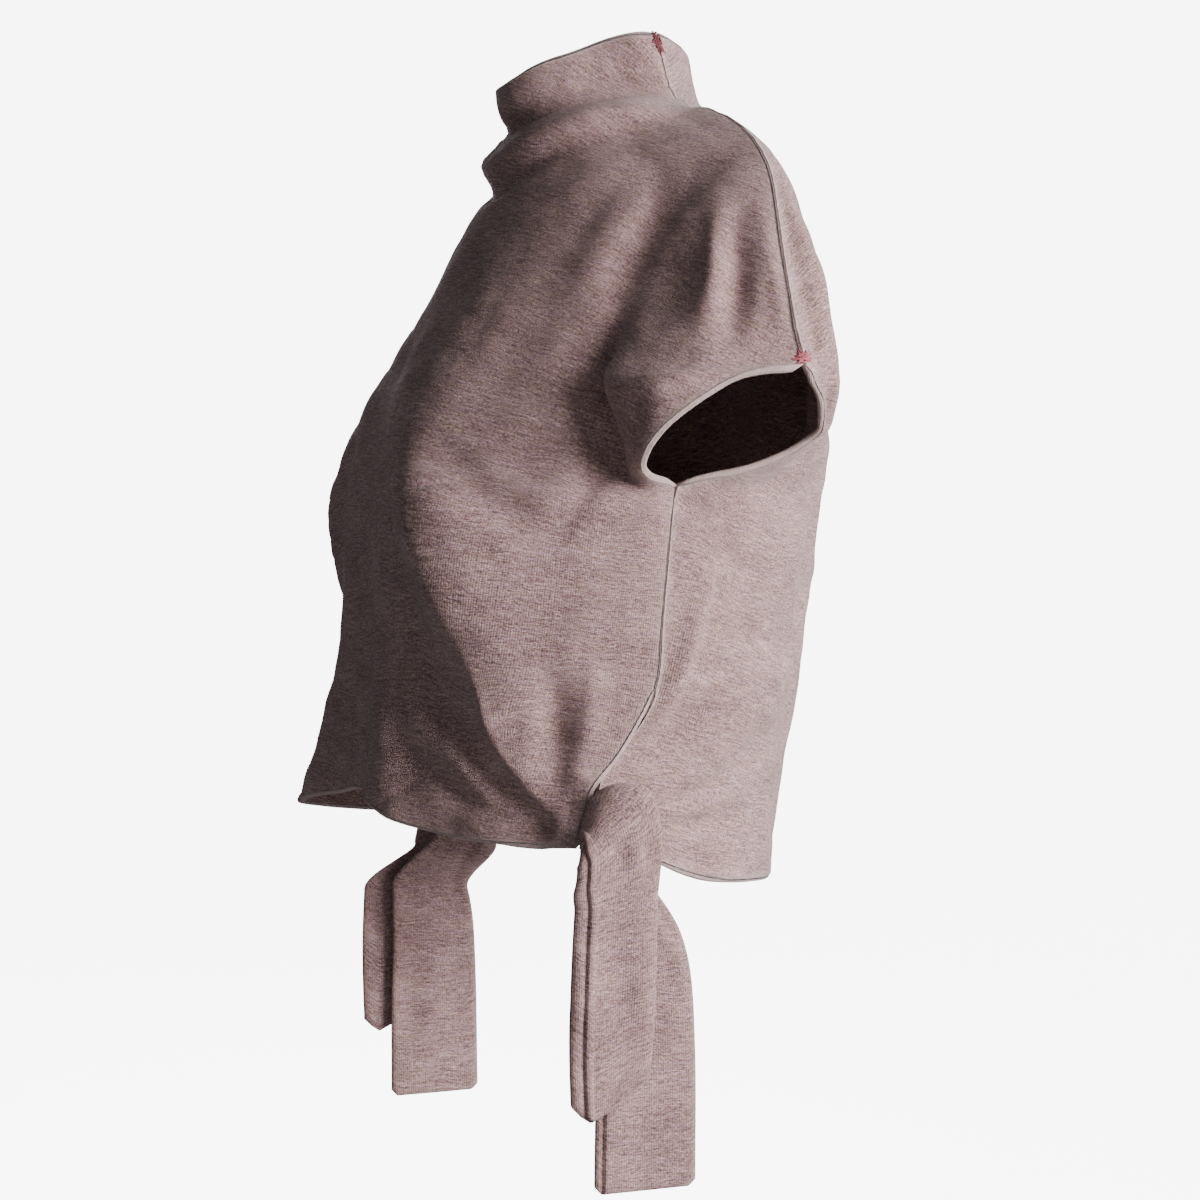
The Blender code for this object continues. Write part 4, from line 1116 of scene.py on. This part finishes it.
def tie_skin(rows, side, shape, inset):
    """Grid of points over a tie's surface, or inset below it, and its flat pattern."""
    section = tie_section(shape.section)
    total = path_length(np.array([row.centre for row in rows], dtype=float))[-1]
    half_middle = 0.5 * rows[-2].width
    across_share = (section[:, 0] * half_middle + section[:, 1]) / half_middle
    lengths = total + np.interp(across_share, *np.transpose(shape.end))
    ease = np.array(TIE_EASE)
    steps = int(total / TIE_STEP)
    columns = []
    for k, length in enumerate(lengths):
        start, stop = inset, length - inset
        body = np.linspace(start + TIE_BODY_START, stop - TIE_BODY_START, steps)
        at = np.concatenate((start + ease, body, stop - ease[::-1]))
        centre, way, out, width = tie_frame(rows, side, at)
        to_end = np.minimum(at - start, stop - at)
        round_off = np.sqrt(np.clip(1.0 - (1.0 - np.clip(to_end / TIE_CLOSE, 0.0, 1.0)) ** 2, 0.0, 1.0))
        aside = section[k, 0] * 0.5 * width + section[k, 1]
        depth = section[k, 2] * round_off
        if inset:
            aside = aside * (1.0 - 2.0 * inset / width)
            depth = TIE_SPACE * depth
        lift = tie_bend(shape.bends, at, aside)
        columns.append(centre + way * aside[:, None] + out * (depth + lift)[:, None])
    grid = np.array(columns).transpose(1, 0, 2)
    grid[..., 0] *= side
    drawn = np.column_stack((section[:, 0] * half_middle + section[:, 1], section[:, 2]))
    round_it = path_length(np.concatenate((drawn, drawn[:1])))[:-1]
    down = np.linalg.norm(np.diff(grid, axis=0), axis=2).mean(axis=1)
    down = np.concatenate(([0.0], np.cumsum(down)))
    pattern = np.stack(np.broadcast_arrays(round_it[None, :], -down[:, None]), axis=-1)
    return grid, pattern


def tube_quads(rows, columns):
    """Quads round a grid whose last column joins its first, and its two closed ends."""
    a = np.arange(rows - 1)[:, None] * columns + np.arange(columns)
    b = np.arange(rows - 1)[:, None] * columns + (np.arange(columns) + 1) % columns
    round_it = np.stack((a, a + columns, b + columns, b), axis=-1).reshape(-1, 4)
    k = np.arange(columns // 2)
    cap = np.stack((k, k + 1, columns - k - 1, (columns - k) % columns), axis=-1)
    return np.concatenate((round_it, cap, cap[:, ::-1] + (rows - 1) * columns))


def signed_volume(points, quads):
    """Volume of a closed mesh, below zero if its faces point in."""
    a, b, c, d = (points[quads[:, k]] for k in range(4))
    return ((a * np.cross(b, c)).sum() + (a * np.cross(c, d)).sum()) / 6.0


def make_tie(node, rows, side, shape, material):
    """A sewn and turned tie: a flat tube of cloth, with the space between its two layers."""
    points, faces, flats = [], [], []
    start = 0
    for inset in (0.0, CLOTH):
        grid, pattern = tie_skin(rows, side, shape, inset)
        skin = grid.reshape(-1, 3)
        quads = tube_quads(*grid.shape[:2])
        if (signed_volume(skin, quads) > 0.0) == bool(inset):
            quads = quads[:, ::-1]
        points.append(skin)
        flats.append(pattern.reshape(-1, 2))
        faces.append(quads + start)
        start += len(skin)
    points, quads, flat = np.concatenate(points), np.concatenate(faces), np.concatenate(flats)
    skin = Skin(points, quads, flat, np.zeros(len(quads)), np.zeros(len(points)))
    piece = cloth_piece(node, skin, [material])
    length = -flats[0][:, 1].min()
    round_it = flats[0][:, 0].max()
    round_it * MM
    length * MM


class Field:
    """A number over the surface, as the output of a node. Each piece of arithmetic adds a node."""

    def __init__(self, tree, socket):
        self.tree = tree
        self.socket = socket

    def math(self, operation, other=0.0):
        return arithmetic(self.tree, operation, self, other)

    def __add__(self, other):
        return self.math("ADD", other)

    def __sub__(self, other):
        return self.math("SUBTRACT", other)

    def __rsub__(self, other):
        return arithmetic(self.tree, "SUBTRACT", other, self)

    def __mul__(self, other):
        return self.math("MULTIPLY", other)


def arithmetic(tree, operation, a, b):
    """The Field of a node that does arithmetic on a and b, numbers or Fields."""
    node = add_node(tree, "ShaderNodeMath", {"operation": operation}, {0: a, 1: b})
    return Field(tree, node.outputs[0])


def add_node(tree, kind, settings=None, inputs=None):
    """A shader node with its settings, and its inputs as values, Fields or other nodes' outputs."""
    node = tree.nodes.new(kind)
    for name, value in (settings or {}).items():
        setattr(node, name, value)
    for name, value in (inputs or {}).items():
        if isinstance(value, Field):
            value = value.socket
        if isinstance(value, bpy.types.NodeSocket):
            tree.links.new(value, node.inputs[name])
        else:
            node.inputs[name].default_value = value
    return node


def noise_of(tree, place, stretch, detail=2.0, roughness=0.55):
    """Noise over a place, with so many features to the metre across and along."""
    scaled = add_node(tree, "ShaderNodeVectorMath", {"operation": "MULTIPLY"}, {0: place, 1: (*stretch, 1.0)})
    noise = add_node(tree, "ShaderNodeTexNoise", {"noise_dimensions": "2D"},
                     {"Vector": scaled.outputs[0], "Scale": 1.0, "Detail": detail, "Roughness": roughness})
    return Field(tree, noise.outputs["Fac"])


def ramp_of(tree, value, stops):
    """Colour ramp over a value."""
    node = add_node(tree, "ShaderNodeValToRGB", None, {0: value})
    elements = node.color_ramp.elements
    for element, (position, colour) in zip(elements, (stops[0], stops[-1])):
        element.position, element.color = position, (*colour, 1.0)
    for position, colour in stops[1:-1]:
        elements.new(position).color = (*colour, 1.0)
    return node.outputs["Color"]


def mixed(tree, factor, a, b, blend="MIX"):
    """Output of a colour mix."""
    node = add_node(tree, "ShaderNodeMix", {"data_type": "RGBA", "blend_type": blend},
                    {0: factor, 6: a, 7: b})
    return node.outputs[2]


def new_material(name, **values):
    """A material, its node tree and its shader, whose sockets have these values."""
    material = bpy.data.materials.new(name)
    material.use_nodes = True
    shader = material.node_tree.nodes["Principled BSDF"]
    for socket, value in values.items():
        shader.inputs[socket.replace("_", " ")].default_value = value
    return material, material.node_tree, shader


def add_bump(tree, shader, bump, height):
    """Bump on a shader, from a height. bump is its strength, and its depth in metres."""
    strength, depth = bump
    node = add_node(tree, "ShaderNodeBump", None, {"Strength": strength, "Distance": depth, "Height": height})
    tree.links.new(node.outputs[0], shader.inputs["Normal"])


def knit_material(name, shift, relief):
    """Brushed heather knit, with wales and loops under a soft nap. relief is the height of the two."""
    material, tree, shader = new_material(name, Specular_IOR_Level=0.25, Sheen_Weight=0.30,
                                          Sheen_Roughness=0.45, Sheen_Tint=(0.92, 0.86, 0.86, 1.0))
    uv = add_node(tree, "ShaderNodeUVMap", {"uv_map": PATTERN_MAP}).outputs["UV"]
    place = add_node(tree, "ShaderNodeVectorMath", {"operation": "ADD"}, {0: uv, 1: (*shift, 0.0)}).outputs[0]
    drift = (noise_of(tree, place, DRIFT, 1.0) - 0.5) * COURSE_DRIFT
    parts = add_node(tree, "ShaderNodeSeparateXYZ", None, {0: place}).outputs
    across, along = Field(tree, parts[0]), Field(tree, parts[1])
    course = add_node(tree, "ShaderNodeCombineXYZ", None, {0: across, 1: along + drift}).outputs[0]
    slubs = noise_of(tree, course, SLUB, 3.0, 0.62)
    fine = noise_of(tree, course, FINE_SLUB, 2.0, 0.6)
    grain = noise_of(tree, course, GRAIN, 1.0, 0.6)
    fleck = noise_of(tree, course, FLECK, 1.0, 0.5)
    cloud = noise_of(tree, course, CLOUD, 2.0, 0.5)
    tone = slubs * SLUB_SHARE + fine * FINE_SHARE + grain * GRAIN_SHARE + cloud * CLOUD_SHARE
    colour = ramp_of(tree, tone, HEATHER)
    dark = Field(tree, ramp_of(tree, fleck, FLECK_STOPS))
    colour = mixed(tree, dark * FLECK_SHARE, colour, (*DARK_FIBRE, 1.0))
    tint = ramp_of(tree, noise_of(tree, course, TINT, 3.0), TINT_STOPS)
    colour = mixed(tree, 1.0, colour, tint, "MULTIPLY")
    # Along the edges the knit is paled: partly pale nap, partly painted light on the edges' tops.
    edge = Field(tree, add_node(tree, "ShaderNodeAttribute", {"attribute_name": EDGE_NAP_AND_LIGHT_MAP}).outputs["Fac"])
    colour = mixed(tree, edge * EDGE_NAP_AND_LIGHT, colour, (*PALE_NAP_AND_LIGHT, 1.0))
    # A wale is a V of loops: 0 in its middle and 1 in the gap beside it.
    wale = (across * (1.0 / WALE)).math("FRACT") - 0.5
    wale = wale.math("ABSOLUTE") * 2.0
    loop = (along * (1.0 / LOOP) + wale * LOOP_LEAN) * (2.0 * math.pi)
    loop = loop.math("SINE")
    gap = wale.math("POWER", 3.0)
    knit = loop * LOOP_RELIEF + (WALE_RELIEF - gap)
    nap = noise_of(tree, place, NAP, 3.0, 0.7)
    height = knit * relief[0] + nap * relief[1] + grain * GRAIN_RELIEF
    shade = (gap * -GAP_SHADE + (1.0 + BRIGHTEN)) * (nap * NAP_SHADE + (1.0 - 0.5 * NAP_SHADE))
    lit = add_node(tree, "ShaderNodeVectorMath", {"operation": "SCALE"}, {0: colour, "Scale": shade})
    tree.links.new(lit.outputs[0], shader.inputs["Base Color"])
    add_bump(tree, shader, KNIT_BUMP, height)
    rough = nap * ROUGH_VARIES + ROUGH
    tree.links.new(rough.socket, shader.inputs["Roughness"])
    return material


def thread_material(name, colour):
    """Twisted sewing thread."""
    material, tree, shader = new_material(name, Roughness=0.6, Sheen_Weight=0.3)
    place = add_node(tree, "ShaderNodeTexCoord").outputs["Object"]
    wave = add_node(tree, "ShaderNodeTexWave", {"bands_direction": "DIAGONAL"},
                    {"Vector": place, "Scale": THREAD_TWIST, "Distortion": 2.0}).outputs["Fac"]
    tint = ramp_of(tree, wave, [(0.2, tuple(THREAD_SHADE * c for c in colour)), (0.8, colour)])
    tree.links.new(tint, shader.inputs["Base Color"])
    add_bump(tree, shader, THREAD_BUMP, wave)
    return material


def tack_stitches(tack):
    """Short stitches that cross at all angles: start and end down and across the seam, and their arch."""
    made = []
    for k in range(tack.count):
        turn = STITCH_TURN * k
        reach = STITCH_HALF + STITCH_VARIES * math.sin(5.1 * k)
        drift = STITCH_WANDER * tack.length * math.sin(1.7 * k + tack.phase)
        aside = STITCH_WANDER * tack.width * math.sin(2.9 * k - tack.phase)
        down, across = tack.length * reach * math.cos(turn), tack.width * reach * math.sin(turn)
        made.append((drift - down, aside - across, drift + down, aside + across, STITCH_ARCH * (1 + k % 4)))
    return made


def on_cloth(panels, row, down, aside):
    """Point on the cloth and its normal, down a seam from a row and aside of it, above 0 on the back."""
    grid, normals = panels[int(aside > 0.0)]
    place = min(max(row + down / ROW_STEP, 0.0), len(grid) - 1.001)
    first, share = int(place), place - int(place)
    lengths = [path_length(grid[k]) for k in (first, first + 1)]
    found = []
    for values in (grid, normals):
        ends = [np.array([np.interp(abs(aside), length, values[first + k, :, axis]) for axis in range(3)])
                for k, length in enumerate(lengths)]
        found.append(ends[0] + (ends[1] - ends[0]) * share)
    return found


def add_tack(tack, panels, row, material):
    """A hand-sewn tack over a seam: short stitches that cross, each arched over the cloth."""
    data = bpy.data.curves.new(tack.name, "CURVE")
    data.dimensions = "3D"
    data.bevel_depth = tack.thread * MM
    data.bevel_resolution = 2
    data.use_fill_caps = True
    for down_0, aside_0, down_1, aside_1, arch in tack_stitches(tack):
        stitch = data.splines.new("POLY")
        stitch.points.add(STITCH_POINTS - 1)
        for point, share in zip(stitch.points, np.linspace(0.0, 1.0, STITCH_POINTS)):
            down = tack.centre + down_0 + (down_1 - down_0) * share
            place, normal = on_cloth(panels, row, down, aside_0 + (aside_1 - aside_0) * share)
            lift = tack.thread + arch * math.sin(math.pi * share) - STITCH_SINK
            point.co = (*((place + normal * lift) * MM), 1.0)
    data.materials.append(material)
    piece = bpy.data.objects.new(tack.name, data)
    bpy.context.scene.collection.objects.link(piece)
    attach(piece, "root")


def build_tacks(front, back, tip_row):
    """The tacks at the top of the neck seams and at the tips of the sleeves."""
    materials = {RED: thread_material("dark_red_thread", RED), PINK: thread_material("pink_red_thread", PINK)}
    rows = {RED: 0, PINK: tip_row}
    for tack in TACKS:
        panels = [(grid[:, ::-tack.side], surface_normals(grid, facing)[:, ::-tack.side])
                  for grid, facing in ((front, -1.0), (back, 1.0))]
        add_tack(tack, panels, rows[tack.colour], materials[tack.colour])


def pattern_size(flat, quads):
    """Width, length and area of a flat pattern, in metres and square metres."""
    corners = flat[quads] * MM
    x, y = corners[..., 0], corners[..., 1]
    area = 0.5 * np.abs((x * np.roll(y, -1, axis=1) - y * np.roll(x, -1, axis=1)).sum(axis=1)).sum()
    size = (flat.reshape(-1, 2).max(axis=0) - flat.reshape(-1, 2).min(axis=0)) * MM
    return float(size[0]), float(size[1]), float(min(area, size[0] * size[1]))


def hemmed(grid, flat, facing, sleeve, slit):
    """A panel's grid with its hems proud and dented along their stitches, and its thickness."""
    hems = [grid[0, ::4], grid[-1, ::4], grid[sleeve, -1], grid[sleeve, 0]]
    band, gap = hem_band(grid, hems, HEM_DEPTH)
    slit_band, _ = hem_band(grid, [grid[slit, -1], grid[slit, 0]], SLIT_HEM_DEPTH)
    thickness = CLOTH + np.maximum((HEM_CLOTH - CLOTH) * band, (SLIT_CLOTH - CLOTH) * slit_band)
    stitches = 0.75 + 0.25 * np.sin(2.0 * math.pi * flat[..., 0] / STITCH_SPACING)
    dent = STITCH_DENT * stitches * np.exp(-((gap - HEM_DEPTH) / STITCH_REACH) ** 2)
    lift = HEM_LIFT * band - dent
    return grid + surface_normals(grid, facing) * lift[..., None], thickness


def build_panels():
    """The front and the back as cloth with hems and round edges. Their grids, and the sleeve tip's row."""
    front, back, joined, knots, places = panel_grids()
    tip = row_place(SLEEVE_TIP_ROW, knots)
    sleeve = (places > tip - 1e-6) & (places < row_place(UNDERARM_ROW, knots) + 1e-6)
    slit = places > row_place(SLIT_TOP_ROW, knots) + SLIT_HEM_START
    made = []
    for name, both, facing, shift in (("front", front, -1.0, (0.0, 0.0)), ("back", back, 1.0, (3.37, 1.91))):
        flat = both[..., 3:]
        grid, thickness = hemmed(both[..., :3], flat, facing, sleeve, slit)
        skin = walled(grid, flat, thickness, facing, joined)
        materials = [knit_material(f"{name}_knit", shift, FACE_RELIEF),
                     knit_material(f"{name}_reverse", shift, REVERSE_RELIEF)]
        piece = cloth_piece(name, skin, materials)
        width, length, area = pattern_size(flat.reshape(-1, 2), grid_quads(*grid.shape[:2]))
        made.append(grid)
    return *made, int(np.abs(places - tip).argmin())


def build_ties():
    """The four ties."""
    for side_name, side in (("left", 1.0), ("right", -1.0)):
        for kind, rows, shape, shift in (
            ("tie_front", TIE_FRONT, FRONT_TIE, 5.3),
            ("tie_back", TIE_BACK, BACK_TIE, 7.7),
        ):
            node = f"{kind}_{side_name}"
            material = knit_material(f"{node}_knit", (shift, shift + side), FACE_RELIEF)
            make_tie(node, rows, side, shape, material)


def build_stage():
    """A pale floor that rises into a wall all round."""
    profile = [(0.0, FLOOR), (FLOOR_RADIUS, FLOOR)]
    profile += [(FLOOR_RADIUS + BEND_RADIUS * math.sin(a), FLOOR + BEND_RADIUS - BEND_RADIUS * math.cos(a))
                for a in np.linspace(0.1, 1.5, 12)]
    profile += [(FLOOR_RADIUS + BEND_RADIUS, WALL_TOP)]
    turns = np.linspace(0.0, 2.0 * math.pi, STAGE_STEPS, endpoint=False)
    points = [(r * math.cos(t), r * math.sin(t), z) for r, z in profile for t in turns]
    quads = []
    for low in range(0, len(points) - STAGE_STEPS, STAGE_STEPS):
        for j in range(STAGE_STEPS):
            n = (j + 1) % STAGE_STEPS
            quads.append((low + j, low + n, low + STAGE_STEPS + n, low + STAGE_STEPS + j))
    mesh = bpy.data.meshes.new("backdrop")
    mesh.from_pydata(points, [], quads)
    mesh.shade_smooth()
    material, _, _ = new_material("backdrop", Base_Color=(0.9, 0.9, 0.9, 1.0), Roughness=0.9,
                                  Emission_Color=(1.0, 1.0, 1.0, 1.0), Emission_Strength=STAGE_GLOW)
    mesh.materials.append(material)
    stage = bpy.data.objects.new("backdrop", mesh)
    stage.visible_diffuse = False
    stage.visible_glossy = False
    stage.visible_shadow = False
    bpy.context.scene.collection.objects.link(stage)


def aimed(name, data, azimuth, elevation, distance):
    """A camera or light that aims at the garment's middle."""
    a, e = math.radians(azimuth), math.radians(elevation)
    way = Vector((math.sin(a) * math.cos(e), -math.cos(a) * math.cos(e), math.sin(e)))
    made = bpy.data.objects.new(name, data)
    made.location = Vector((0.0, 0.0, AIM_HEIGHT)) + way * distance
    made.rotation_mode = "QUATERNION"
    made.rotation_quaternion = (-way).to_track_quat("-Z", "Y")
    bpy.context.scene.collection.objects.link(made)
    return made


def add_light(light):
    """A square soft light."""
    data = bpy.data.lights.new(light.name, "AREA")
    data.size, data.energy, data.color = light.size, light.power, light.colour
    aimed(light.name, data, light.azimuth, light.elevation, light.distance)


def add_camera():
    """The camera where the photograph was taken from."""
    data = bpy.data.cameras.new("camera")
    data.sensor_width = SENSOR_MM
    data.lens = SENSOR_MM * CAMERA_DISTANCE / VIEW_WIDTH
    data.dof.use_dof = False
    bpy.context.scene.camera = aimed("camera", data, CAMERA_AZIMUTH, 0.0, CAMERA_DISTANCE)


def build_world():
    """Dim even light from all round."""
    world = bpy.data.worlds.new("studio")
    world.use_nodes = True
    ground = world.node_tree.nodes["Background"]
    ground.inputs["Color"].default_value = (0.95, 0.97, 1.0, 1.0)
    ground.inputs["Strength"].default_value = WORLD_LIGHT
    bpy.context.scene.world = world


front_grid, back_grid, sleeve_tip_row = build_panels()
build_ties()
build_tacks(front_grid, back_grid, sleeve_tip_row)
build_stage()
for light in LIGHTS:
    add_light(light)
build_world()
add_camera()
